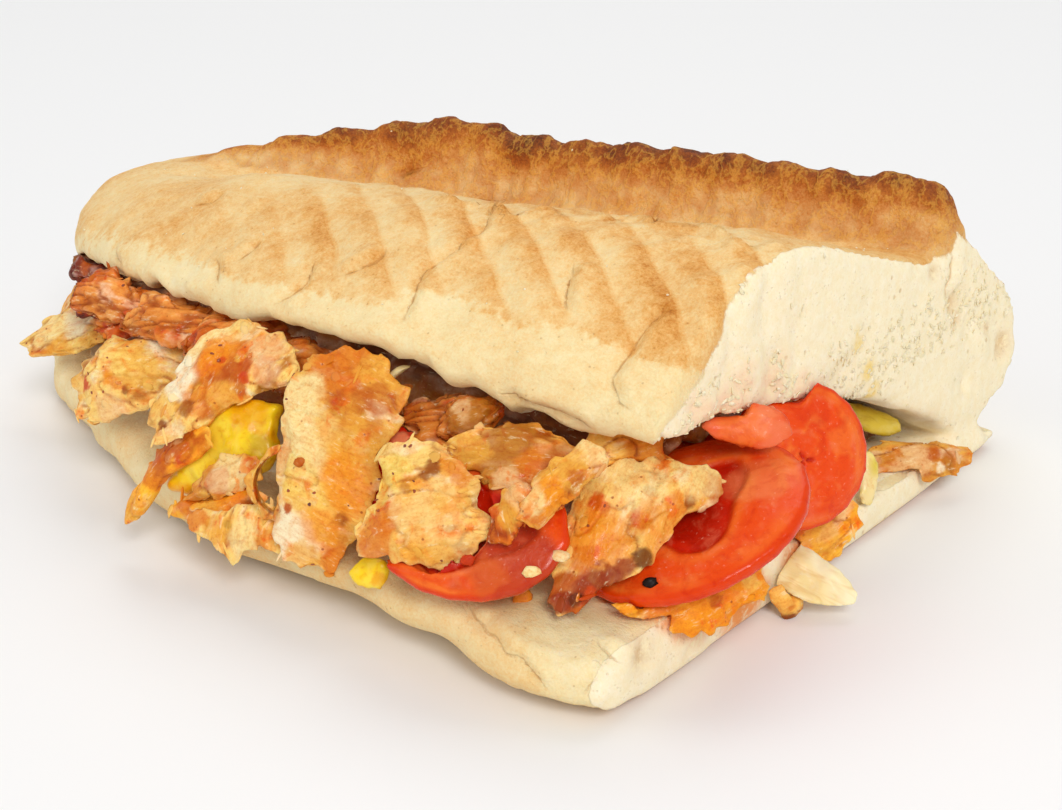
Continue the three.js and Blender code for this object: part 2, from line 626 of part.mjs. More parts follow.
    name: 'chicken_chunk_round', colour: COLOURS.redChicken, at: [47, -44, 31], face: [25, 35],
    thickness: 6, ragged: 0.02, ripple: 0.2, seed: 32, steps: 12,
    corners: [[-4, -3], [-4, 2], [0, 4], [4, 3], [4, -1], [1, -4]],
  },
  {
    name: 'onion_sliver', colour: COLOURS.onion, at: [39, -45, 30], face: [30, 30],
    radius: 7, from: 110, to: 215, width: 2.6, thickness: 1, seed: 33, steps: 8,
  },
  {
    name: 'chicken_shreds_orange', colour: COLOURS.redChicken, at: [-24, -42.5, 28.5], face: [10, 40], turn: 12,
    thickness: 3.4, ragged: 0.1, seed: 34, steps: 16,
    corners: [[-10, -3], [-6, 3], [3, 4], [11, 1], [8, -2], [-2, -4]],
  },
  {
    name: 'chicken_scrap_charred_outer', colour: COLOURS.charred, at: [-49.3, -33.6, 27.5], face: [350, 25],
    thickness: 5, ragged: 0.12, seed: 35, steps: 12,
    corners: [[-5, -1], [-3, 3], [3, 3], [5, 0], [1, -4]],
  },
  {
    name: 'chicken_scrap_charred_inner', colour: COLOURS.charred, at: [-41.5, -38, 26], face: [10, 35],
    thickness: 4.5, ragged: 0.12, seed: 36, steps: 12,
    corners: [[-6, -3], [-4, 3], [3, 3], [6, 0], [2, -4]],
  },
  {
    name: 'pickle_slice', colour: COLOURS.pickle, at: [70, 25, 12], face: [65, 30],
    thickness: 2.4, ripple: 0.2, ragged: 0, seed: 37, steps: 12,
    corners: [[-5, 5], [-2, 4.6], [6, 0.2], [6, -1.6], [2, -1.6], [-3, 1.5]],
  },
  {
    name: 'pepper_sliver', colour: COLOURS.pepper, at: [78, 11, 10.7], face: [60, 25],
    thickness: 1.6, ripple: 0.2, seed: 38, steps: 10,
    corners: [[-2, -4], [0, -4], [2, 3], [0, 5], [-1, 1]],
  },
  {
    name: 'chicken_scraps_end', colour: COLOURS.redChicken, at: [77.5, 28.8, 7], face: [60, 40],
    thickness: 3.2, ragged: 0.12, seed: 39, steps: 16,
    corners: [[-8, 4], [2, 3], [11, 1], [10, -1], [2, -3], [-7, -3], [-9, 1]],
  },
  {
    name: 'chicken_flake_end_high', colour: COLOURS.paleChicken, at: [80, -5, 9.1], face: [60, 30],
    thickness: 2, ragged: 0.1, seed: 40, steps: 14,
    corners: [[-7, 1], [-2, 5], [6, 4], [7, 0], [0, -4], [-6, -3]],
  },
  {
    name: 'leaf_white', colour: COLOURS.leaf, at: [82.5, -12, 6], face: [40, 50],
    thickness: 1.3, bend: -1.5, ripple: 0.9, ragged: 0.05, rings: 3, seed: 41, steps: 18,
    corners: [
      [-8.3, 2.2], [-5.7, 4.4], [-1.4, 4.9], [3.6, 0.8], [6.7, -2.7], [6.7, -4.2], [-1.4, -4], [-5, -1.6],
    ],
  },
  {
    name: 'chicken_tip_browned', colour: COLOURS.charred, at: [81.5, -15.5, 2.8], face: [60, 10],
    thickness: 2, ragged: 0.08, seed: 42, steps: 10,
    corners: [[-3, 2], [2, 2], [2, -1], [0, -3], [-2, -1]],
  },
  {
    name: 'chicken_flake_end_low', colour: COLOURS.paleChicken, at: [80.5, -36.7, 11.5], face: [70, 35],
    thickness: 1.8, ragged: 0.1, seed: 43, steps: 18,
    corners: [
      [-13, 3.2], [-3.5, 2.2], [6, 2.5], [11.2, 2.2], [11.2, -1], [5.2, -2.7], [-0.5, -4.2], [-7, -1.3],
    ],
  },
  {
    name: 'pepper_bit', colour: COLOURS.pepper, at: [43, -60.5, 13], face: [10, 30],
    thickness: 2.6, ragged: 0.03, seed: 44, steps: 10,
    corners: [[-3, -1], [-1, 2], [3, 1], [2, -2]],
  },
  ...rowUnderLip(),
  ...slicesRoundEnd(),
];

function meshOf(name, colour, solid, roughness, matrix = new THREE.Matrix4()) {
  const geometry = geometryOf(solid);
  geometry.applyMatrix4(matrix.clone().invert());
  const material = new THREE.MeshStandardMaterial({ color: colour, roughness, metalness: 0 });
  const mesh = new THREE.Mesh(geometry, material);
  mesh.name = name;
  mesh.applyMatrix4(matrix);
  return mesh;
}

function joined(geometries, grow = 0) {
  return geometries.map((geometry) => solidOf(geometry, grow)).reduce((a, b) => a.add(b));
}

function buildSandwich() {
  const sandwich = new THREE.Group();
  const bread = breadParts();
  const loaf = largestBody(joined(bread)).simplify(LOAF_SIMPLER);
  sandwich.add(meshOf('bread', COLOURS.crust, loaf, ROUGHNESS.crust));
  let taken = joined(bread, GAP);
  let closest = joined(bread, LEAST_GAP);
  let roomForHeap = joined(breadParts(COARSE_BASE_STATIONS, COARSE_LID_STATIONS), HEAP_BREAD_GAP);
  for (const piece of FILLING) {
    const matrix = placement(piece);
    const geometry = (piece.radius ? ribbonGeometry(piece) : sliceGeometry(piece)).applyMatrix4(matrix);
    const left = trimmed(solidOf(geometry), taken, SIMPLER, closest);
    sandwich.add(meshOf(piece.name, piece.colour, left, ROUGHNESS.filling, matrix));
    taken = taken.add(solidOf(geometry, GAP));
    closest = closest.add(solidOf(geometry, LEAST_GAP));
    roomForHeap = roomForHeap.add(solidOf(geometry, HEAP_GAP));
  }
  const heap = trimmed(solidOf(heapGeometry()), roomForHeap, HEAP_SIMPLER);
  sandwich.add(meshOf('chicken_heap', COLOURS.chicken, heap, ROUGHNESS.heap));
  return sandwich;
}

export default buildSandwich();
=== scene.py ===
# Half a loaf with roast chicken, tomato and pickles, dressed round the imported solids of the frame
import itertools
import math

import bmesh
import bpy
import numpy as np
from mathutils import Matrix, Vector
from mathutils.bvhtree import BVHTree


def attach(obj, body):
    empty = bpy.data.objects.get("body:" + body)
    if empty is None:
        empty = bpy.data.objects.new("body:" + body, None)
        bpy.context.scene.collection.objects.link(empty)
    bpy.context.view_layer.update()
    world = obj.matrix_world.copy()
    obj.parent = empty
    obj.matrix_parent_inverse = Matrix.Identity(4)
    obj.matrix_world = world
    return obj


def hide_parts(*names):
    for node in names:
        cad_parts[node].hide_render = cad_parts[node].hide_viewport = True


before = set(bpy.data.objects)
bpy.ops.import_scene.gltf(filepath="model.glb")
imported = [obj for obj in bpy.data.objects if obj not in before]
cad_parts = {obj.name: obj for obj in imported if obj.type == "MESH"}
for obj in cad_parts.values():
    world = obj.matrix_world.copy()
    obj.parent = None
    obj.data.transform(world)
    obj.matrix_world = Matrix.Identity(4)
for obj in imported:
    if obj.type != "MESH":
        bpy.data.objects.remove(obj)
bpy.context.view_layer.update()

MM = 0.001
FAR_AWAY = 1e9

# Photograph's frame and its camera
PHOTO_WIDTH = 1062
PHOTO_HEIGHT = 810
FOCAL_PIXELS = 1800
SENSOR_WIDTH_MM = 36
CAMERA_AZIMUTH = math.radians(40)
CAMERA_ELEVATION = math.radians(24)
CAMERA_PLACE_MM = np.array((196.45, -209.65, 132.37))
NEAREST_SEEN = 0.01
FARTHEST_SEEN = 20

# Fineness of the surfaces, as the side of a cell in millimetres
BREAD_CELL = 0.92
HEAP_CELL = 1.0
CHICKEN_CELL = 0.38
TOMATO_CELL = 0.4
LEAF_CELL = 0.32

# Distance in metres below which two corners of a solid are one, and a point's own share when it is softened
SAME_PLACE = 1e-6
OWN_SHARE = 0.4


# Numbers over a surface

def mix(first, second, share):
    return first + (second - first) * share


def smooth_step(low, high, value):
    share = np.clip((value - low) / (high - low), 0, 1)
    return share * share * (3 - 2 * share)


# Factors that mix a cell's three whole numbers and a seed into one number without a visible pattern
CELL_FACTORS = np.array((73856093, 19349663, 83492791), np.uint64)
SEED_FACTOR = 2654435761
MIXING_FACTORS = np.array((0x9E3779B97F4A7C15, 0xBF58476D1CE4E5B9), np.uint64)


def lattice(cells, seed):
    """Repeatable values between -1 and 1 at whole-numbered cells"""
    x, y, z = (cells.astype(np.uint64) * CELL_FACTORS).T
    mixed = x ^ y ^ z ^ np.uint64(seed * SEED_FACTOR % 2**32)
    mixed *= MIXING_FACTORS[0]
    mixed ^= mixed >> np.uint64(29)
    mixed *= MIXING_FACTORS[1]
    return (mixed >> np.uint64(40)).astype(float) / 2**23 - 1


def noise(points, size, seed):
    """Smooth unevenness between -1 and 1, with bumps of a size in millimetres"""
    grid = points / size
    cells = np.floor(grid).astype(np.int64)
    part = grid - cells
    part = part * part * (3 - 2 * part)
    total = np.zeros(len(points))
    for corner in itertools.product((0, 1), repeat=3):
        step = np.array(corner)
        weight = np.prod(np.where(step == 1, part, 1 - part), axis=1)
        total += weight * lattice(cells + step, seed)
    return total


def rough_noise(points, size, seed, octaves=3):
    """Unevenness with finer and finer unevenness on it"""
    total = 0
    reach = 0
    for octave in range(octaves):
        share = 0.5**octave
        total = total + share * noise(points, np.array(size) * share, seed + 17 * octave)
        reach += share
    return total / reach


def creased_noise(points, size, seed):
    """Sharp valleys between rounded humps, from 0 in a valley to 1"""
    return np.abs(rough_noise(points, size, seed, 2)) ** 0.7


def shallow_creases(points, size, seed, depth):
    """Creases cut off at a depth, from 0 in a valley to 1 on the flat ground between valleys"""
    return np.minimum(creased_noise(points, size, seed), depth) / depth


def patches(points, size, seed, low, high):
    """Soft-edged patches, 0 where the unevenness is at the low value and 1 where it is at the high one"""
    return smooth_step(low, high, noise(points, size, seed))


def bell(distance, width):
    """1 at no distance, falling off on both sides"""
    return np.exp(-(distance / width) ** 2)


def pits(points, size, seed, share):
    """Round hollows, 1 at a hollow's middle and 0 outside it, in a share of the cells"""
    grid = points / size
    cells = np.floor(grid).astype(np.int64)
    deepest = np.zeros(len(points))
    for corner in itertools.product((-1, 0, 1), repeat=3):
        near = cells + np.array(corner)
        place = np.stack([lattice(near, seed + k) * 0.5 + 0.5 for k in range(3)], axis=1)
        radius = 0.25 + 0.4 * (lattice(near, seed + 3) * 0.5 + 0.5)
        there = lattice(near, seed + 4) * 0.5 + 0.5 < share
        distance = np.linalg.norm(grid - near - place, axis=1)
        deepest = np.maximum(deepest, there * np.clip(1 - distance / radius, 0, 1))
    return deepest


def colour(code):
    """Linear colour of a hex code"""
    parts = np.array([int(code[i:i + 2], 16) / 255 for i in (1, 3, 5)])
    return np.where(parts <= 0.04045, parts / 12.92, ((parts + 0.055) / 1.055) ** 2.4)


def rgba(code):
    return (*colour(code), 1.0)


def dyed(tint, wanted, share):
    """Tints moved towards a wanted one by each point's share"""
    return mix(tint, wanted, share[:, None])


# Camera and the places that it sees

VIEW_BACK = np.array((
    math.sin(CAMERA_AZIMUTH) * math.cos(CAMERA_ELEVATION),
    -math.cos(CAMERA_AZIMUTH) * math.cos(CAMERA_ELEVATION),
    math.sin(CAMERA_ELEVATION),
))
VIEW_RIGHT = np.array((math.cos(CAMERA_AZIMUTH), math.sin(CAMERA_AZIMUTH), 0))
VIEW_UP = np.cross(VIEW_BACK, VIEW_RIGHT)


def add_camera():
    data = bpy.data.cameras.new("photo_camera")
    data.sensor_width = SENSOR_WIDTH_MM
    data.lens = FOCAL_PIXELS / PHOTO_WIDTH * SENSOR_WIDTH_MM
    data.clip_start = NEAREST_SEEN
    data.clip_end = FARTHEST_SEEN
    camera = bpy.data.objects.new("photo_camera", data)
    turn = Matrix((VIEW_RIGHT, VIEW_UP, VIEW_BACK)).transposed()
    camera.matrix_world = Matrix.Translation(CAMERA_PLACE_MM * MM) @ turn.to_4x4()
    bpy.context.scene.collection.objects.link(camera)
    bpy.context.scene.camera = camera


def sight_line(pixel):
    across = (pixel[0] - PHOTO_WIDTH / 2) / FOCAL_PIXELS
    down = (pixel[1] - PHOTO_HEIGHT / 2) / FOCAL_PIXELS
    direction = across * VIEW_RIGHT - down * VIEW_UP - VIEW_BACK
    return direction / np.linalg.norm(direction)


def in_photo(points):
    """Pixels of the photograph where points show, and how many of them a millimetre covers"""
    offset = points - CAMERA_PLACE_MM
    scale = -FOCAL_PIXELS / (offset @ VIEW_BACK)
    across = PHOTO_WIDTH / 2 + scale * (offset @ VIEW_RIGHT)
    down = PHOTO_HEIGHT / 2 - scale * (offset @ VIEW_UP)
    return np.stack([across, down], axis=1), scale


def side_of_line(pixels, path):
    """Signed distance from each pixel to a line, positive at the right hand on the way along it"""
    nearest = np.full(len(pixels), FAR_AWAY)
    signed = np.zeros(len(pixels))
    path = np.array(path, float)
    for start, end in zip(path, path[1:]):
        along = end - start
        offset = pixels - start
        share = np.clip(offset @ along / (along @ along), 0, 1)
        distance = np.linalg.norm(offset - share[:, None] * along, axis=1)
        turn = along[0] * offset[:, 1] - along[1] * offset[:, 0]
        closer = distance < nearest
        nearest = np.where(closer, distance, nearest)
        signed = np.where(closer, np.sign(turn) * distance, signed)
    return signed


# Surfaces

def read(rows, name, width, kind=np.float32):
    values = np.empty(len(rows) * width, kind)
    rows.foreach_get(name, values)
    return values.reshape(-1, width) if width > 1 else values


def link(piece):
    bpy.context.scene.collection.objects.link(piece)
    return piece


def make_plain(piece):
    """Turns what a piece's modifiers make into its own mesh"""
    depsgraph = bpy.context.evaluated_depsgraph_get()
    mesh = bpy.data.meshes.new_from_object(piece.evaluated_get(depsgraph))
    piece.modifiers.clear()
    piece.data = mesh
    return piece


def fine_copy(node, name, cell):
    """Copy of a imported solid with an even, fine mesh"""
    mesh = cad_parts[node].data.copy()
    build = bmesh.new()
    build.from_mesh(mesh)
    bmesh.ops.remove_doubles(build, verts=build.verts, dist=SAME_PLACE)
    build.to_mesh(mesh)
    build.free()
    mesh.materials.clear()
    piece = link(bpy.data.objects.new(name, mesh))
    remesh = piece.modifiers.new("even mesh", "REMESH")
    remesh.mode = "VOXEL"
    remesh.voxel_size = cell * MM
    remesh.use_smooth_shade = True
    return make_plain(piece)


ATTRIBUTE_FIELDS = {"FLOAT": "value", "FLOAT_COLOR": "color", "FLOAT_VECTOR": "vector"}


def store(mesh, name, values, kind):
    """Keeps a number, colour or vector for each point of a mesh"""
    if kind == "FLOAT_COLOR":
        values = np.column_stack([values, np.ones(len(values))])
    layer = mesh.attributes.new(name, kind, "POINT")
    layer.data.foreach_set(ATTRIBUTE_FIELDS[kind], values.astype(np.float32).ravel())


class Surface:
    """Points of a piece as arrays in millimetres, to be shaped and painted"""

    def __init__(self, piece):
        self.piece = piece
        self.mesh = piece.data
        self.points = read(self.mesh.vertices, "co", 3).astype(float) / MM
        self.starts, self.ends = read(self.mesh.edges, "vertices", 2, np.int32).T
        self.count = len(self.points)
        links = np.bincount(np.concatenate([self.starts, self.ends]), minlength=self.count)
        self.links = np.maximum(links, 1)

    def neighbours(self, values):
        total = np.bincount(self.starts, values[self.ends], self.count)
        total += np.bincount(self.ends, values[self.starts], self.count)
        return total / self.links

    def soften(self, values, rounds):
        for _ in range(rounds):
            values = OWN_SHARE * values + (1 - OWN_SHARE) * self.neighbours(values)
        return values

    def relax(self, rounds, limit):
        """Takes the facets away, with no point moved further than the limit"""
        smooth = np.stack([self.soften(self.points[:, axis], rounds) for axis in range(3)], axis=1)
        move = smooth - self.points
        length = np.linalg.norm(move, axis=1, keepdims=True)
        self.points += move * np.minimum(1, limit / np.maximum(length, 1e-9))

    def write(self):
        self.mesh.vertices.foreach_set("co", (self.points * MM).astype(np.float32).ravel())
        self.mesh.update()

    def normals(self):
        self.write()
        return read(self.mesh.vertex_normals, "vector", 3).astype(float)

    def push(self, amount):
        self.points += self.normals() * np.reshape(amount, (-1, 1))

    def tree(self):
        self.write()
        polygons = [tuple(polygon.vertices) for polygon in self.mesh.polygons]
        return BVHTree.FromPolygons([Vector(point) for point in self.points], polygons)

    def paint(self, name, values, kind="FLOAT"):
        store(self.mesh, name, values, kind)

    def finish(self, slot, node=None):
        self.write()
        self.mesh.shade_smooth()
        hand_over(self.piece, slot, node)


def hand_over(piece, slot, node=None):
    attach(piece, "root")
    if node:
        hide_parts(node)


def seen_points(tree, pixels):
    """Where the camera's sight lines through pixels of the photograph meet a surface"""
    found = []
    for pixel in pixels:
        place = tree.ray_cast(Vector(CAMERA_PLACE_MM), Vector(sight_line(pixel)))[0]
        if place is not None:
            found.append(np.array(place))
    return found


def seen_paths(tree, lines):
    """Lines of the photograph, laid on a surface"""
    paths = [seen_points(tree, line) for line in lines.values()]
    return [path for path in paths if len(path) > 1]


# Length of a part of a fold, in millimetres, past which it leaps from one form to another, and the greatest
# distance that is told from a fold
LONGEST_FOLD_PART = 8
FOLD_REACH = 4


def fold_sides(points, paths):
    """Signed distance to the nearest of several lines through places, and 1 beside it but 0 past its ends"""
    nearest = np.full(len(points), FAR_AWAY)
    signed = np.full(len(points), 2.0 * FOLD_REACH)
    beside = np.zeros(len(points))
    for path in paths:
        lengths = [np.linalg.norm(end - start) for start, end in zip(path, path[1:])]
        total = sum(lengths)
        done = 0.0
        for start, end, length in zip(path, path[1:], lengths):
            if length > LONGEST_FOLD_PART:
                continue
            along = (end - start) / max(length, 1e-6)
            offset = points - start
            reach = np.clip(offset @ along, 0, length)
            apart = offset - reach[:, None] * along
            distance = np.linalg.norm(apart, axis=1)
            closer = distance < nearest
            place = done + reach
            inner = smooth_step(0, 2, place) * smooth_step(total, total - 3, place)
            nearest = np.where(closer, distance, nearest)
            signed = np.where(closer, np.sign(np.cross(along, apart) @ VIEW_BACK) * distance, signed)
            beside = np.where(closer, inner, beside)
            done += length
    return np.clip(signed, -FOLD_REACH, FOLD_REACH), beside


# Shader and geometry trees

class Value:
    """A socket that can be used in sums"""

    def __init__(self, tree, socket):
        self.tree = tree
        self.socket = socket

    def __add__(self, other):
        return self.tree.maths("ADD", self, other)

    def __sub__(self, other):
        return self.tree.maths("SUBTRACT", self, other)

    def __rsub__(self, other):
        return self.tree.maths("SUBTRACT", other, self)

    def __mul__(self, other):
        return self.tree.maths("MULTIPLY", self, other)

    def __pow__(self, other):
        return self.tree.maths("POWER", self, other)

    def __truediv__(self, other):
        return self.tree.maths("DIVIDE", self, other)

    __radd__ = __add__
    __rmul__ = __mul__

    def clamped(self):
        return self.tree.maths("ADD", self, 0.0, use_clamp=True)

    def size(self):
        return self.tree.maths("ABSOLUTE", self, 0.0)

    def step(self, low, high):
        inputs = {"Value": self, "From Min": low, "From Max": high}
        settings = {"interpolation_type": "SMOOTHSTEP"}
        return self.tree.add("ShaderNodeMapRange", settings, inputs)["Result"]


class Tree:
    """Node tree whose nodes are added with their settings first and then their sockets"""

    def __init__(self, nodes, links):
        self.nodes = nodes
        self.links = links

    def add(self, kind, settings=None, inputs=None):
        node = self.nodes.new(kind)
        for name, setting in (settings or {}).items():
            if name == "stops":
                self.set_stops(node.color_ramp, setting)
            else:
                setattr(node, name, setting)
        for name, given in (inputs or {}).items():
            socket = self.named_input(node, name)
            if isinstance(given, Value):
                self.links.new(given.socket, socket)
            else:
                socket.default_value = given
        return {key: Value(self, socket) for key, socket in self.outputs(node)}

    @staticmethod
    def named_input(node, name):
        """Socket by its number, or the one in use with a name"""
        if isinstance(name, int):
            return node.inputs[name]
        return next(socket for socket in node.inputs if socket.name == name and socket.enabled)

    @staticmethod
    def outputs(node):
        yield from enumerate(node.outputs)
        for socket in node.outputs:
            if socket.enabled:
                yield socket.name, socket

    @staticmethod
    def set_stops(ramp, stops):
        while len(ramp.elements) < len(stops):
            ramp.elements.new(0.5)
        for element, (place, code) in zip(ramp.elements, stops):
            element.position = place
            element.color = rgba(code)

    def maths(self, operation, first, second, use_clamp=False):
        settings = {"operation": operation, "use_clamp": use_clamp}
        return self.add("ShaderNodeMath", settings, {0: first, 1: second})[0]

    def blend(self, share, first, second, blend_type="MIX"):
        settings = {"data_type": "RGBA", "blend_type": blend_type}
        return self.add("ShaderNodeMix", settings, {0: share, 6: first, 7: second})[2]

    def attribute(self, name, output="Fac"):
        return self.add("ShaderNodeAttribute", {"attribute_name": name})[output]

    def shaded(self, share, first, dark):
        """First colour, multiplied by a darker one where the share is high"""
        return self.blend(share, first, self.blend(1.0, first, rgba(dark), "MULTIPLY"))

    def object_place(self):
        return self.add("ShaderNodeTexCoord")["Object"]

    def stretched(self, vector, scale):
        settings = {"operation": "MULTIPLY"}
        return self.add("ShaderNodeVectorMath", settings, {0: vector, 1: scale})[0]

    def grain(self, vector, scale, detail=3.0, roughness=0.55, distortion=0.0):
        inputs = {"Vector": vector, "Scale": scale, "Detail": detail, "Roughness": roughness}
        return self.add("ShaderNodeTexNoise", None, inputs | {"Distortion": distortion})[0]

    def cells(self, vector, scale, feature="F1"):
        settings = {"feature": feature}
        return self.add("ShaderNodeTexVoronoi", settings, {"Vector": vector, "Scale": scale})["Distance"]

    def ramp(self, share, stops):
        return self.add("ShaderNodeValToRGB", {"stops": stops}, {0: share})["Color"]

    def bump(self, height, strength, distance_mm, normal=None):
        inputs = {"Height": height, "Strength": strength, "Distance": distance_mm * MM}
        if normal:
            inputs["Normal"] = normal
        return self.add("ShaderNodeBump", None, inputs)["Normal"]


def new_material(name):
    material = bpy.data.materials.new(name)
    material.use_nodes = True
    material.node_tree.nodes.clear()
    return material, Tree(material.node_tree.nodes, material.node_tree.links)


def scattering(weight, radius, scale_mm):
    return {"Subsurface Weight": weight, "Subsurface Radius": radius, "Subsurface Scale": scale_mm * MM}


def finish_surface(tree, inputs):
    """Principled surface as the material's output; scattering colours are constants"""
    shader = tree.add("ShaderNodeBsdfPrincipled", {"subsurface_method": "RANDOM_WALK"}, inputs)["BSDF"]
    tree.add("ShaderNodeOutputMaterial", None, {"Surface": shader})


# Materials

def bread_material():
    material, tree = new_material("baked_crust_and_crumb")
    place = tree.object_place()
    grain = tree.grain(place, 2500, 3, 0.75)
    mottle = tree.grain(place, 640, 4, 0.62)
    blotch = tree.grain(place, 140, 3, 0.55)
    crumb = (tree.attribute("crumb_side") + (mottle - 0.5) * 1.6 + (grain - 0.5) * 0.8).step(-0.25, 0.25)
    fold = (1 - tree.attribute("fold_side").size().step(0.04, 0.3)) * tree.attribute("fold_beside")

    pressed = tree.attribute("pressed")
    phase = tree.maths("FRACT", tree.attribute("groove_turns") + (mottle - 0.5) * 0.12, 0.0)
    climb = phase.step(0.12, 0.9) * (1 - phase.step(0.94, 1.0))
    # The dark line in each groove's valley is painted shade; the browning towards each crest is the crust's
    # own colour.
    valley = (1 - phase.step(0.0, 0.07)) + phase.step(0.93, 1.0)
    golden = (tree.attribute("gold_side") + (mottle - 0.5) * 3.0 + (blotch - 0.5) * 2.0).step(-0.7, 0.7)
    brown = tree.attribute("bake") + pressed * (climb * 0.2 + valley * 0.1 - 0.09) - (1 - golden) * 0.2
    brown = brown + (grain - 0.5) * 0.42 + (mottle - 0.5) * 0.36 + (blotch - 0.5) * 0.28
    crust = tree.ramp(brown.clamped(), [
        (0.0, "#FAEAC0"), (0.2, "#F6DFA8"), (0.4, "#F2CA88"), (0.55, "#E7AC5E"),
        (0.7, "#CC8128"), (0.85, "#9C5614"), (1.0, "#5E300C"),
    ])
    ridge = tree.attribute("ridge")
    blister = tree.grain(tree.stretched(place, (1.0, 0.7, 0.7)), 420, 4, 0.6, 0.25)
    vein = 1 - (blister * 2 - 1).size() * 5.5
    bubble = tree.cells(tree.stretched(place, (1.0, 0.8, 0.8)), 330)
    crust = tree.shaded(ridge * (bubble.step(0.2, 0.7) * 0.3 + 0.25), crust, "#CC8A34")
    crust = tree.blend(ridge * vein.step(0.3, 1.0) * 0.36, crust, rgba("#F0B448"))
    speckle = (1 - tree.cells(place, 850).step(0.06, 0.2)) * mottle.step(0.5, 0.6)
    crust = tree.blend(speckle * 0.4, crust, rgba("#9A5C22"))
    # Along folds and cracks the crust gets a darker line: painted shade in the crease.
    crust = tree.blend(fold * mottle.step(0.3, 0.6) * 0.7, crust, rgba("#B8742E"))

    pore = (1 - tree.cells(place, 560).step(0.1, 0.26)) * blotch.step(0.5, 0.66)
    pinhole = (1 - tree.cells(place, 1500).step(0.08, 0.3)) * mottle.step(0.42, 0.6)
    soft = tree.ramp((mottle * 0.6 + grain * 0.4).clamped(), [
        (0.3, "#F6E2B4"), (0.5, "#FBECC8"), (0.7, "#FEF3D8"),
    ])
    # Pores, pinholes and dents in the crumb are painted darker: painted shade in the hollows.
    soft = tree.blend(pore * 0.55, soft, rgba("#D2AC74"))
    soft = tree.blend(pinhole * 0.3, soft, rgba("#DDBA80"))
    soft = tree.blend(tree.attribute("pit") * mottle.step(0.3, 0.55) * 0.65, soft, rgba("#CFA262"))
    soft = tree.blend(tree.attribute("yellow_stain") * mottle.step(0.25, 0.6), soft, rgba("#F0C850"))
    soft = tree.blend(tree.attribute("pink_stain") * mottle.step(0.2, 0.6), soft, rgba("#F0B98E"))
    # Along folds the crumb is painted darker: painted shade in the crease.
    soft = tree.shaded(fold * 0.6, soft, "#D8A868")
    base = tree.blend(crumb, crust, soft)
    sauce = tree.attribute("sauce") * mottle.step(0.3, 0.55)
    base = tree.blend(sauce * 0.9, base, rgba("#EE8A1C"))

    wrinkle = tree.grain(tree.stretched(place, (1.0, 1.5, 1.0)), 700, 5, 0.65, 0.8)
    crust_height = wrinkle * 1.1 + grain * 0.75 + ridge * ((1 - bubble) * 2.0 + vein.clamped() * 0.8)
    crumb_height = (1 - pore) * 0.8 + (1 - pinhole) * 0.5 + grain * 0.35 + mottle * 0.4
    height = crust_height * (1 - crumb) + crumb_height * crumb - fold * 1.2
    rough = mix(0.6, 0.92, crumb) + (mottle - 0.5) * 0.2 - sauce * 0.45
    finish_surface(tree, {
        "Base Color": base, "Roughness": rough, "Normal": tree.bump(height, 0.6, 0.34),
        "Specular IOR Level": 0.28,
    } | scattering(0.1, (1.0, 0.6, 0.3), 1.0))
    return material


def chicken_material():
    material, tree = new_material("roast_chicken")
    place = tree.attribute("grain_place", "Vector")
    tint = tree.attribute("tint", "Color")
    char = tree.attribute("char")
    wet = tree.attribute("wet")
    fibre = tree.grain(tree.stretched(place, (0.25, 1.0, 1.0)), 1900, 3, 0.6, 0.3)
    mottle = tree.grain(place, 700, 4, 0.62)
    fine = tree.grain(place, 2800, 2, 0.6)
    stain = tree.grain(place, 330, 3, 0.6, 0.8)
    base = tree.shaded((1 - mottle).step(0.45, 0.7) * 0.4, tint, "#EAAE58")
    base = tree.shaded(stain.step(0.52, 0.64) * mix(0.3, 0.75, wet), base, "#FFB048")
    # Between the fibres the colour is darker, painted shade, and along the fibre tops it is lighter, a
    # painted highlight.
    base = tree.shaded((1 - fibre).step(0.48, 0.7) * 0.35, base, "#E4B070")
    base = tree.blend(fibre.step(0.54, 0.7) * mottle.step(0.46, 0.62) * 0.46, base, rgba("#FFF1C4"))
    base = tree.shaded((1 - fine).step(0.5, 0.75) * 0.25, base, "#D9A060")
    fleck = (1 - tree.cells(place, 620).step(0.06, 0.17)) * stain.step(0.48, 0.6)
    base = tree.blend(fleck * 0.8, base, rgba("#A0410F"))
    base = tree.blend(char * mottle.step(0.3, 0.6), base, rgba("#43190A"))
    height = fibre * 0.5 + mottle * 0.7 + fine * 0.15
    shine = tree.grain(place, 420, 3, 0.6)
    finish_surface(tree, {
        "Base Color": base, "Roughness": 0.5 - wet * 0.16 - shine.step(0.45, 0.7) * 0.14,
        "Normal": tree.bump(height, 0.6, 0.28), "Specular IOR Level": 0.2,
        "Coat Weight": shine.step(0.52, 0.66) * mix(0.04, 0.35, wet), "Coat Roughness": 0.1,
    } | scattering(0.1, (1.0, 0.6, 0.25), 0.7))
    return material


def tomato_material():
    material, tree = new_material("tomato_flesh_and_skin")
    place = tree.attribute("grain_place", "Vector")
    tint = tree.attribute("tint", "Color")
    flesh = tree.attribute("flesh")
    streak = tree.grain(place, 420, 4, 0.6, 0.5)
    fine = tree.grain(place, 1700, 3, 0.6)
    base = tree.blend(streak.step(0.52, 0.72) * flesh * 0.28, tint, rgba("#F08058"))
    base = tree.shaded((1 - streak).step(0.48, 0.7) * 0.4, base, "#E06A40")
    base = tree.blend(fine.step(0.62, 0.74) * flesh * 0.3, base, rgba("#FFB89A"))
    normal = tree.bump(streak * 0.9 + fine * 0.6 * flesh, 0.4, 0.3)
    finish_surface(tree, {
        "Base Color": base, "Normal": normal, "Roughness": mix(0.22, 0.38, flesh) + (fine - 0.5) * 0.2,
        "Specular IOR Level": 0.2, "Coat Weight": streak.step(0.5, 0.62) * 0.16, "Coat Roughness": 0.08,
    } | scattering(0.08, (1.0, 0.2, 0.08), 1.0))
    return material


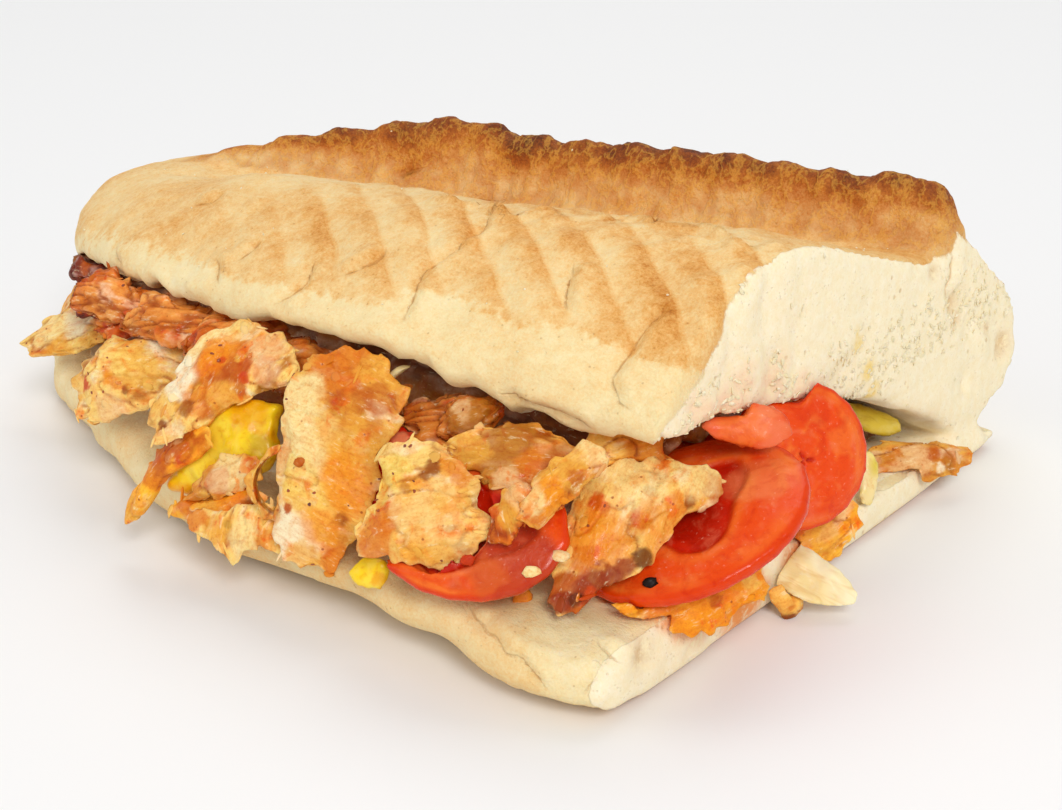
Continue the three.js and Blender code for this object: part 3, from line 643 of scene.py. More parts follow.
def soft_vegetable_material(name, depth, vein_stretch, roughness, light, dark):
    material, tree = new_material(name)
    place = tree.attribute("grain_place", "Vector")
    tint = tree.attribute("tint", "Color")
    mottle = tree.grain(place, 420, 4, 0.6, 0.4)
    vein = tree.grain(tree.stretched(place, (vein_stretch, 1.0, 1.0)), 900, 3, 0.55, 0.6)
    base = tree.blend(mottle.step(0.5, 0.72) * 0.35, tint, rgba(light))
    base = tree.shaded((1 - vein).step(0.5, 0.75) * 0.45, base, dark)
    normal = tree.bump(mottle + vein * 0.7, 0.35, 0.3)
    finish_surface(tree, {
        "Base Color": base, "Roughness": mottle * 0.2 + roughness, "Normal": normal,
        "Specular IOR Level": 0.3, "Coat Weight": mottle.step(0.5, 0.62) * 0.25, "Coat Roughness": 0.12,
    } | scattering(depth, (1.0, 0.8, 0.3), 1.5))
    return material


def speck_material(name, dark, light, roughness, coat):
    material, tree = new_material(name)
    place = tree.object_place()
    shade = tree.grain(place, 420, 3, 0.7)
    normal = tree.bump(tree.grain(place, 3200, 2, 0.6), 0.4, 0.15)
    finish_surface(tree, {
        "Base Color": tree.ramp(shade, [(0.3, dark), (0.7, light)]),
        "Roughness": shade * 0.2 + roughness, "Normal": normal, "Coat Weight": coat,
    })
    return material


# Bread

# Places along the loaf and heights in millimetres: start of the lists along it, where its back closes, where
# its lid begins, where the lid's end and the face of the cut begin, and where the lip begins
LOAF_START = -80
CLOSED_BACK_FROM = -40
LID_FROM = 17
LID_END_FROM = 66
CUT_FACE_FROM = 74
LIP_FROM = 21
LIP_DEPTH = 6

# How far the slit and the loaf reach at most, how far from a surface a ray starts, and the least slope of a
# surface inside the slit
SLIT_REACH = 60
LOAF_REACH = 120
RAY_START = 0.6
LEAST_SLOPE = 0.15

# Middle line of the browned ridge as places along and across the loaf, length in which its height is taken,
# distances from hump to hump and from groove to groove, and the direction in which the grooves follow
RIDGE_STATIONS = ((-60, -5), (-46, 3), (-31, 14), (-10, 23), (24, 27), (50, 31), (76.5, 37))
RIDGE_STRIP = 4
HUMP_PITCH = 9.0
GROOVE_PITCH = 6.65
GROOVE_START = 5.04
GROOVE_RUN = (0.6, 0.8)
ALL_GOLD = 6.0

# Pixels of the photograph: strip in which the lip's lowest point is looked for, greatest shift of the lip,
# and width and ends of the flaky band
LIP_STRIP = 4
LIP_SHIFT = 10
FLAKY_WIDTH = 14
FLAKY_RANGE = (585, 790)

# Lines of the photograph, in its pixels: lip of the lid, edge between cream and golden crust, edge of the
# crumb, outer edge of the crust at the cut, and the flaky edge beside the furrow
LIP_EDGE = (
    (70, 240), (75, 255), (110, 270), (150, 285), (200, 300), (230, 315), (260, 318), (300, 325), (350, 340),
    (385, 350), (398, 361), (413, 359), (427, 358), (433, 368), (449, 381), (482, 393), (525, 412),
    (552, 422), (579, 434), (605, 443), (620, 432), (643, 439), (655, 442), (664, 421),
)
GOLD_EDGE = (
    (75, 240), (98, 236), (174, 252), (220, 274), (273, 286), (326, 296), (375, 306), (415, 290), (460, 300),
    (520, 325), (575, 330), (630, 355), (700, 372),
)
CRUMB_EDGE = (
    (640, 470), (660, 432), (684, 405), (700, 376), (716, 344), (728, 308), (748, 276), (764, 262),
    (776, 252), (800, 245), (832, 245), (864, 248), (896, 253), (930, 257), (951, 255), (958, 236),
    (960, 150),
)
OUTER_CRUST = ((962, 234), (980, 250), (994, 266), (1006, 284), (1014, 302), (1018, 320), (1016, 336))
FLAKY_EDGE = ((590, 214), (622, 222), (660, 229), (690, 234), (718, 238), (760, 250))

# Folds and cracks of the bread, in pixels of the photograph
CREASES = {
    "long fold": (
        (494, 211), (479, 229), (458, 246), (440, 259), (430, 266), (419, 283), (405, 305), (398, 328),
    ),
    "left fold": ((233, 262), (243, 256), (250, 250), (266, 236)),
    "middle fold": ((317, 259), (302, 286), (289, 296), (272, 304)),
    "corner fold": ((667, 307), (650, 322), (637, 341), (623, 362), (614, 377), (620, 400), (634, 417)),
    "short fold": ((575, 262), (569, 282), (563, 316)),
    "lip fold": ((495, 393), (533, 407), (567, 418), (598, 431)),
    "tip fold": ((112, 250), (118, 261), (121, 270)),
    "small tip fold": ((214, 259), (219, 272), (221, 288)),
    "lobe wrinkle": ((336, 276), (372, 262), (392, 244)),
    "left wrinkle": ((188, 206), (214, 200), (232, 190)),
    "base fold": ((472, 606), (480, 622), (487, 632), (504, 648), (518, 662), (535, 680), (553, 693)),
    "left base fold": ((408, 604), (412, 618), (418, 632)),
    "base corner fold": ((590, 637), (606, 652), (625, 668)),
    "low base fold": ((584, 698), (602, 673)),
    "shoulder fold": ((951, 256), (955, 272), (947, 288), (950, 301)),
}
CRACKS = {
    "torn edge": (
        (440, 197), (452, 201), (464, 203), (478, 199), (491, 199), (504, 208), (518, 215), (538, 212),
        (557, 215),
    ),
    "small tear": ((395, 181), (402, 175), (410, 172), (425, 170)),
    "flaky tear": ((611, 220), (636, 222), (660, 225), (690, 229), (718, 231), (740, 240), (759, 247)),
}

# Dents: pixel of the photograph, radius and depth in millimetres. Stains: pixel and radius
DENTS = (
    ((954, 303), 2.2, 1.2), ((988, 327), 1.0, 0.9), ((1004, 343), 2.2, 1.2), ((958, 320), 1.2, 0.8),
    ((935, 272), 1.4, 0.7), ((560, 640), 3.0, 0.6), ((642, 655), 2.4, 0.7),
)
YELLOW_STAINS = (((868, 372), 2.6), ((858, 345), 2.2), ((872, 392), 3.0), ((857, 332), 1.2))
PINK_STAINS = (((735, 400), 6.0), ((775, 378), 5.0), ((700, 415), 5.0), ((800, 385), 3.0))
SAUCE_STAINS = (
    ((700, 608), 7.0), ((745, 600), 8.0), ((660, 603), 5.0), ((800, 560), 6.0), ((640, 592), 3.0),
    ((610, 598), 2.0),
)


def stain_share(surface, tree, stains, seed):
    """1 at the middle of a stain and 0 outside it"""
    share = np.zeros(surface.count)
    for pixel, radius in stains:
        for place in seen_points(tree, [pixel]):
            distance = np.linalg.norm(surface.points - place, axis=1)
            distance = distance * (1 + 0.35 * noise(surface.points, 2.5, seed))
            share = np.maximum(share, 1 - smooth_step(0.35 * radius, radius, distance))
    return share


def dents(tree, points):
    """How far the bread is sunk in millimetres, and how much of a dent shows"""
    sunk = np.zeros(len(points))
    shown = np.zeros(len(points))
    for pixel, radius, depth in DENTS:
        for place in seen_points(tree, [pixel]):
            apart = np.linalg.norm(points - place, axis=1) * (1 + 0.4 * noise(points, 1.6, 77))
            shown = np.maximum(shown, bell(apart, radius))
            sunk += depth * bell(apart, radius)
    return sunk, shown


def between_base_and_lid(surface):
    """1 where the loaf faces itself straight above or below, and isn't open behind"""
    tree = surface.tree()
    normals = surface.normals()
    facing = np.zeros(surface.count)
    for i in np.nonzero(np.abs(normals[:, 2]) > LEAST_SLOPE)[0]:
        up = 1.0 if normals[i, 2] > 0 else -1.0
        start = Vector(surface.points[i] + normals[i] * RAY_START)
        if tree.ray_cast(start, Vector((0, 0, up)), SLIT_REACH)[0] is not None:
            behind = tree.ray_cast(start, Vector((0, 1, 0)), LOAF_REACH)[0]
            facing[i] = behind is not None or surface.points[i, 0] < CLOSED_BACK_FROM
    return facing


def follow_lip(surface, lid):
    """Lets the lid's lip run as in the photograph, and gives its place for each millimetre along the loaf"""
    x, y = surface.points[:, :2].T
    pixels, scale = in_photo(surface.points)
    columns = (x - LOAF_START).astype(int)
    front = np.full(columns.max() + 1, FAR_AWAY)
    np.minimum.at(front, columns[lid], y[lid])
    near = lid & (y < front[columns] + LIP_DEPTH)
    strips = np.clip(pixels[:, 0] / LIP_STRIP, 0, PHOTO_WIDTH / LIP_STRIP).astype(int)
    lowest = np.zeros(strips.max() + 1)
    np.maximum.at(lowest, strips[near], pixels[near, 1])
    filled = np.nonzero(lowest)[0]
    lowest = np.interp(np.arange(len(lowest)), filled, lowest[filled])
    here = np.interp(pixels[:, 0], (np.arange(len(lowest)) + 0.5) * LIP_STRIP, lowest)
    path = np.array(LIP_EDGE, float)
    wanted = np.interp(pixels[:, 0], path[:, 0], path[:, 1])
    across = surface.points * (1, 0.2, 0.2)
    torn = mix(0.25, 1.2, patches(across, 13, 79, -0.2, 0.4))
    tears = torn * (1.9 * np.abs(noise(across, 5.2, 71)) - 0.6 + 0.7 * noise(across, 1.9, 72))
    shift = np.clip(here - wanted, -LIP_SHIFT, LIP_SHIFT) / (scale * VIEW_UP[2]) + tears
    share = near * smooth_step(6, 0.5, (here - pixels[:, 1]) / scale) * (pixels[:, 0] < path[-1, 0])
    surface.points[:, 2] += shift * surface.soften(share.astype(float), 2)
    return front


def front_at(x, front):
    """Place across the loaf of the lid's lip, from the list for each millimetre along the loaf"""
    known = front < FAR_AWAY
    return np.interp(x - LOAF_START, np.nonzero(known)[0] + 0.5, front[known])


def climb_of_ridge(x, z, ridge):
    """0 at the foot of the ridge and 1 along its crest"""
    along = (x - LOAF_START) / RIDGE_STRIP
    strips = along.astype(int)
    low = np.full(strips.max() + 1, np.nan)
    high = low.copy()
    for strip in range(len(low)):
        heights = z[(strips == strip) & (ridge > 0.5)]
        if len(heights) > 20:
            low[strip], high[strip] = np.percentile(heights, (12, 97))
    known = np.nonzero(~np.isnan(low))[0]
    foot = np.interp(along, known + 0.5, low[known])
    crest = np.interp(along, known + 0.5, high[known])
    return smooth_step(0.0, 1.0, (z - foot) / np.maximum(crest - foot, 1))


def side_of_crumb(surface, normals, inside, lid_front):
    """Distance to the edge of the crumb, positive on the crumb and negative on the crust"""
    points = surface.points
    x, y, z = points.T
    pixels, scale = in_photo(points)
    on_cut = (normals[:, 0] > 0.5) & (x > CUT_FACE_FROM)
    mask = surface.soften(np.maximum(on_cut, inside).astype(float), 3)
    side = (mask - 0.62) * 5
    lid_end = (x > LID_END_FROM) & (z > LID_FROM)
    side = np.where(lid_end, np.minimum(side, side_of_line(pixels, CRUMB_EDGE) / scale), side)
    outer = side_of_line(pixels, OUTER_CRUST) / scale + 0.5 * noise(points, 3, 73)
    side = np.where(lid_end & (pixels[:, 1] < OUTER_CRUST[-1][1]), np.minimum(side, outer), side)
    behind_lip = y - front_at(x, lid_front) - 3.5 + noise(points, 3, 74)
    side = np.where((z > LID_FROM) & (x < LID_END_FROM), np.minimum(side, behind_lip), side)
    return np.minimum(side, (z - 1.1 + 0.5 * noise(points, 5, 75)) * 2)


def pressed_grooves(points, lid, gold_side):
    """Turns from one groove of the lid to the next, and how firmly they are pressed"""
    x, y = points[:, :2].T
    wobble = 0.9 * noise(points, 16, 1) + 0.45 * noise(points, 4, 2)
    turns = (GROOVE_RUN[0] * x + GROOVE_RUN[1] * y + wobble - GROOVE_START) / GROOVE_PITCH
    pressed = lid * smooth_step(-46, -38, y) * (1 - smooth_step(-14, -4, y)) * smooth_step(-18, 10, x)
    pressed = pressed * smooth_step(-1.5, 2.5, gold_side) * mix(0.55, 1.0, patches(points, 9, 14, -0.4, 0.3))
    return turns, pressed


def crust_relief(points, crust, lid, ridge, turns, pressed):
    """Height over the crust in millimetres: grooves of the lid, humps of the ridge, and unevenness"""
    phase = turns - np.floor(turns)
    saw = smooth_step(0.02, 0.55, phase) * (1 - smooth_step(0.78, 1.0, phase))
    wrinkled = shallow_creases(points, (6.0, 3.6, 6.0), 7, 0.45) - 0.7
    blisters = shallow_creases(points, (2.4, 4.5, 4.5), 9, 0.5) - 0.6
    humps = np.sin(2 * np.pi * points[:, 0] / HUMP_PITCH + 2 * noise(points, 20, 5))
    uneven = 0.28 * wrinkled + 0.45 * noise(points, 11, 3) + 0.14 * noise(points, 2.4, 4)
    height = 0.55 * pressed * (saw - 0.5)
    height += ridge * (0.3 * humps + 0.55 * blisters)
    height += crust * lid * (1 - ridge) * uneven
    return height + crust * (1 - lid) * (0.7 * noise(points, (9, 9, 6), 6) + 0.25 * wrinkled)


def fold_relief(crease_side, crease_beside, crack_side, crack_beside):
    """Height beside creases and cracks: a valley with a raised flank"""
    height = crease_beside * (0.6 * bell(crease_side - 1.9, 1.3) - 0.7 * bell(crease_side, 0.9))
    return height + crack_beside * (bell(crack_side + 1.3, 0.9) - 0.9 * bell(crack_side, 0.8))


def crumb_relief(points, crumb, lid, tufts):
    """Height over the crumb: bumps and pores, and torn tufts near the filling"""
    height = 0.3 * noise(points, 5, 34) + 0.16 * noise(points, 1.8, 8)
    height += (1 - lid) * 0.7 * noise(points, 5.5, 35)
    height -= 0.35 * pits(points, 2.6, 31, 0.22) + 0.9 * pits(points, 6.5, 41, 0.16)
    return crumb * height + tufts * (0.9 * noise(points, 2.0, 37) + 0.5 * noise(points, 1.2, 38))


def bake_of_crust(points, pixels, lid, ridge, off_ridge, flaky):
    """How brown the crust is, from 0 for cream to 1 for dark brown, with painted shade in the furrow beside
    the ridge
    """
    x, y, z = points.T
    bake = 0.42 + 0.06 * noise(points, 16, 51) + 0.05 * noise(points, 6, 52)
    bake += 0.1 * smooth_step(20, 70, x) * lid * smooth_step(-40, -25, y) * patches(points, 9, 53, -0.5, 0.4)
    bake -= 0.06 * smooth_step(0, -40, x) * patches(points, 13, 57, -0.3, 0.5)
    # The furrow beside the ridge is painted darker: painted shade where the lobe's edge overhangs it.
    furrow = smooth_step(-18, -8, off_ridge) * (1 - smooth_step(-6, -4, off_ridge)) * lid
    bake += furrow * (0.04 + 0.06 * noise(points, 4, 58)) + flaky * 0.12 * noise(points, 2.0, 59)
    low = smooth_step(LID_FROM, 12, z)
    side_of_base = 0.3 - 0.08 * smooth_step(10, -20, x) + 0.07 * noise(points, 8, 54)
    bake = mix(bake, side_of_base + 0.1 * smooth_step(8, 3, z), low)
    corner = low * smooth_step(500, 570, pixels[:, 0]) * smooth_step(0, 20, x) * smooth_step(1.5, 4, z)
    bake = mix(bake, 0.1 + 0.08 * noise(points, 6, 78), 0.8 * corner)
    back = smooth_step(0, 8, off_ridge) * lid
    bake = mix(bake, 0.6 + 0.08 * noise(points, 9, 60), back)
    browned = 0.43 + 0.44 * climb_of_ridge(x, z, ridge)**1.3 - 0.1 * smooth_step(-30, -50, x)
    browned += 0.08 * noise(points, 3.5, 55) + 0.08 * noise(points, 9, 15)
    bake = mix(bake, browned, ridge)
    return np.maximum(bake, smooth_step(3.0, 0.6, z) * (0.62 + 0.12 * noise(points, 4, 56)))


def make_bread(material):
    """Dresses the loaf, and gives its surface with the shares of crumb and of torn tufts"""
    piece = fine_copy("bread", "bread_baked", BREAD_CELL)
    surface = Surface(piece)
    surface.relax(14, 0.8)
    inside = between_base_and_lid(surface)
    normals = surface.normals()
    front_of_lid = (surface.points[:, 2] > LIP_FROM) & (surface.points[:, 1] < 5) & (normals[:, 1] < 0.9)
    lid_front = follow_lip(surface, front_of_lid)
    points = surface.points.copy()
    x, y, z = points.T
    pixels, scale = in_photo(points)
    seen = surface.tree()

    crumb_side = side_of_crumb(surface, normals, inside, lid_front)
    crumb = smooth_step(-0.4, 0.4, crumb_side)
    crust = 1 - crumb
    lid = smooth_step(15, 22, z)
    off_ridge = y - np.interp(x, *np.array(RIDGE_STATIONS).T)
    ridge = lid * smooth_step(-60, -50, x + 3 * noise(points, 6, 11)) * crust
    ridge = ridge * smooth_step(-7.0, -4.5, off_ridge + noise(points, 4, 13))
    ridge = ridge * (1 - smooth_step(4, 10, off_ridge))
    gold_side = -side_of_line(pixels, GOLD_EDGE) / scale
    gold_side = np.where(y < -12, gold_side, ALL_GOLD) * mix(0.35, 1.0, smooth_step(-30, 0, x))
    turns, pressed = pressed_grooves(points, lid, gold_side)
    flaky = bell(side_of_line(pixels, FLAKY_EDGE), FLAKY_WIDTH) * crust * (1 - ridge) * lid
    flaky = flaky * (pixels[:, 0] > FLAKY_RANGE[0]) * (pixels[:, 0] < FLAKY_RANGE[1])
    wander = points + 0.5 * noise(points, 2.2, 12)[:, None]
    crease_side, crease_beside = fold_sides(wander, seen_paths(seen, CREASES))
    crack_side, crack_beside = fold_sides(wander, seen_paths(seen, CRACKS))
    tufts = stain_share(surface, seen, PINK_STAINS, 36) * crumb * smooth_step(46, 38, z)
    sunk, dented = dents(seen, points)

    height = crust_relief(points, crust, lid, ridge, turns, pressed)
    height += flaky * 0.6 * (shallow_creases(points, 2.6, 17, 0.5) - 0.4)
    height += fold_relief(crease_side, crease_beside, crack_side, crack_beside)
    height += crumb_relief(points, crumb, lid, tufts) - sunk
    surface.push(height * smooth_step(1.2, 3.0, z))
    surface.points[:, 2] = np.maximum(surface.points[:, 2], 0)

    bake = bake_of_crust(points, pixels, lid, ridge, off_ridge, flaky)
    # Along cracks and creases the crust is painted darker: painted shade inside them.
    bake += 0.1 * crack_beside * bell(crack_side, 1.6) + 0.05 * crease_beside * bell(crease_side, 1.5)
    cracked = np.abs(crack_side) < np.abs(crease_side)
    fold_side = np.where(cracked, crack_side * 0.6, crease_side)
    beside = np.where(cracked, 1.5 * crack_beside, 0.75 * crease_beside)
    shares = {
        "bake": np.clip(bake, 0, 1),
        "gold_side": np.where(lid > 0.5, gold_side, ALL_GOLD),
        "pressed": pressed,
        "pit": dented,
        "groove_turns": turns,
        "ridge": ridge,
        "crumb_side": crumb_side,
        "fold_side": fold_side,
        "fold_beside": beside * smooth_step(2.4, 1.2, np.abs(fold_side)),
        "yellow_stain": 0.75 * stain_share(surface, seen, YELLOW_STAINS, 61),
        "pink_stain": 0.45 * stain_share(surface, seen, PINK_STAINS, 62),
        "sauce": stain_share(surface, seen, SAUCE_STAINS, 63) * smooth_step(24, 14, z),
    }
    for name, share in shares.items():
        surface.paint(name, share)
    piece.data.materials.append(material)
    surface.finish("bread", "bread")
    surface.crumb = crumb
    surface.tufts = tufts
    return surface


# Sliced food

# Directions in which a slice's outline is measured, greatest loss in millimetres that is given back after it
# is softened, and cell in millimetres in which its two faces are drawn together
OUTLINE_PARTS = 72
GREATEST_LOSS = 2.5
FACE_CELL = 1.2


class Slice:
    """Fine copy of a flat piece of food, with places in its own plane"""

    def __init__(self, node, cell, relax=8, limit=0.5):
        self.node = node
        self.surface = Surface(fine_copy(node, node + "_dressed", cell))
        points = self.surface.points
        self.centre = (points.min(0) + points.max(0)) / 2
        thin, _, long = np.linalg.eigh(np.cov((points - points.mean(0)).T))[1].T
        thin = thin * (1 if thin @ VIEW_BACK > 0 else -1)
        long = long * (1 if long @ VIEW_RIGHT > 0 else -1)
        self.axes = np.array((long, np.cross(thin, long), thin))
        wanted = self.outline()
        self.surface.relax(relax, limit)
        lost = np.clip(wanted - self.outline(), 0, GREATEST_LOSS)
        self.pull_in(-self.at_angle(lost) * smooth_step(0.6, 0.98, self.rim()))

    def flat(self, turn=0.0):
        """Places along the slice, across it and through it, turned in its plane by degrees"""
        x, y, z = self.axes @ (self.surface.points - self.centre).T
        c, s = math.cos(math.radians(turn)), math.sin(math.radians(turn))
        return np.stack([c * x + s * y, c * y - s * x, z], axis=1)

    def outline(self):
        """Greatest distance from the middle of the slice for each of its directions"""
        x, y, _ = self.flat().T
        share = np.arctan2(y, x) / (2 * np.pi) + 0.5
        reach = np.zeros(OUTLINE_PARTS)
        np.maximum.at(reach, (share * OUTLINE_PARTS).astype(int) % OUTLINE_PARTS, np.hypot(x, y))
        return np.maximum(reach, np.maximum(np.roll(reach, 1), np.roll(reach, -1)) * 0.85)

    def at_angle(self, outline):
        """Value of a list over the slice's directions at each point"""
        x, y, _ = self.flat().T
        centres = (np.arange(OUTLINE_PARTS) + 0.5) / OUTLINE_PARTS * 2 * np.pi - np.pi
        return np.interp(np.arctan2(y, x), centres, outline, period=2 * np.pi)

    def rim(self):
        """0 at the middle of the slice and 1 at its outline"""
        x, y, _ = self.flat().T
        edge = self.at_angle(self.outline())
        return np.clip(np.hypot(x, y) / np.maximum(edge, 1e-6), 0, 1.1)

    def thin_out(self, rim, share):
        """Draws both faces of the slice together towards its outline"""
        local = self.flat()
        places = np.floor(local[:, :2] / FACE_CELL).astype(int)
        places -= places.min(0) - 2
        shape = tuple(places.max(0) + 3)
        total = np.zeros(shape)
        count = np.zeros(shape)
        np.add.at(total, tuple(places.T), local[:, 2])
        np.add.at(count, tuple(places.T), 1.0)
        sides = [(step, axis) for axis in (0, 1) for step in (-1, 1)]
        for _ in range(3):
            total, count = (grid + sum(np.roll(grid, *side) for side in sides) for grid in (total, count))
        middle = (total / np.maximum(count, 1e-6))[tuple(places.T)]
        squeeze = share * smooth_step(0.62, 1.0, rim)
        self.surface.points -= ((local[:, 2] - middle) * squeeze)[:, None] * self.axes[2]

    def pull_in(self, amount):
        """Moves points towards the middle of the slice, in its plane"""
        local = self.flat()
        out = local[:, :2] / np.maximum(np.hypot(local[:, 0], local[:, 1]), 1e-6)[:, None]
        self.surface.points -= (out * amount[:, None]) @ self.axes[:2]

    def mark(self, tint, marks, seed, paint):
        """Paints round marks, each a pixel of the photograph, a radius, a colour and a strength"""
        seen = self.surface.tree()
        for k, (pixel, radius, name, strength) in enumerate(marks):
            for place in seen_points(seen, [pixel]):
                distance = np.linalg.norm(self.surface.points - place, axis=1)
                torn = rough_noise(self.surface.points, max(1.2, radius * 0.8), seed + k, 4)
                outside = smooth_step(0.6 * radius, 0.95 * radius, distance * (1 + 0.75 * torn))
                tint = dyed(tint, colour(paint[name]), strength * (1 - outside))
        return tint

    def finish(self, slot, material, tint, turn=0.0, **shares):
        surface = self.surface
        surface.paint("tint", np.clip(tint, 0, 1), "FLOAT_COLOR")
        surface.paint("grain_place", self.flat(turn) * MM, "FLOAT_VECTOR")
        for name, share in shares.items():
            surface.paint(name, share)
        surface.piece.data.materials.append(material)
        surface.finish(slot, self.node)


# Colours of the marks on the filling
PAINT = {
    "white": "#FCF0CE", "cream": "#FAE09A", "butter": "#F7D468", "peach": "#F2C488", "pink": "#E8B080",
    "gold": "#F0B040", "orange": "#F29410", "amber": "#E07A10", "rust": "#C05A0A", "red": "#D44A04",
    "tan": "#BC7622", "brown": "#8E4208", "char": "#5E2606", "black": "#1C0E06", "maroon": "#96300A",
}

# Colours of each kind of roast chicken: flesh, second flesh, sauce and torn rim
PALE = {"flesh": "#F9D684", "second": "#ECAC3E", "sauce": "#DE8208", "rim": "#F6DA94"}
GOLDEN = {"flesh": "#F2C468", "second": "#DC8E28", "sauce": "#D27008", "rim": "#ECB458"}
SAUCY = {"flesh": "#FBC03C", "second": "#F6A01A", "sauce": "#EE8606", "rim": "#F8CC60"}
RED = {"flesh": "#F0A03C", "second": "#DC7414", "sauce": "#C84A04", "rim": "#B05810"}
DARK = {"flesh": "#C05814", "second": "#7C2C0C", "sauce": "#9C3408", "rim": "#4A1806"}
# The heap's colours are darkened to stand for the shade deep in the split: painted shade.
HEAP = {"flesh": "#C28434", "second": "#9C6020", "sauce": "#8C4C0C", "rim": "#7C4810"}
TUCKED = {"flesh": "#F0B264", "second": "#DC8A34", "sauce": "#D06A10", "rim": "#A85A14"}

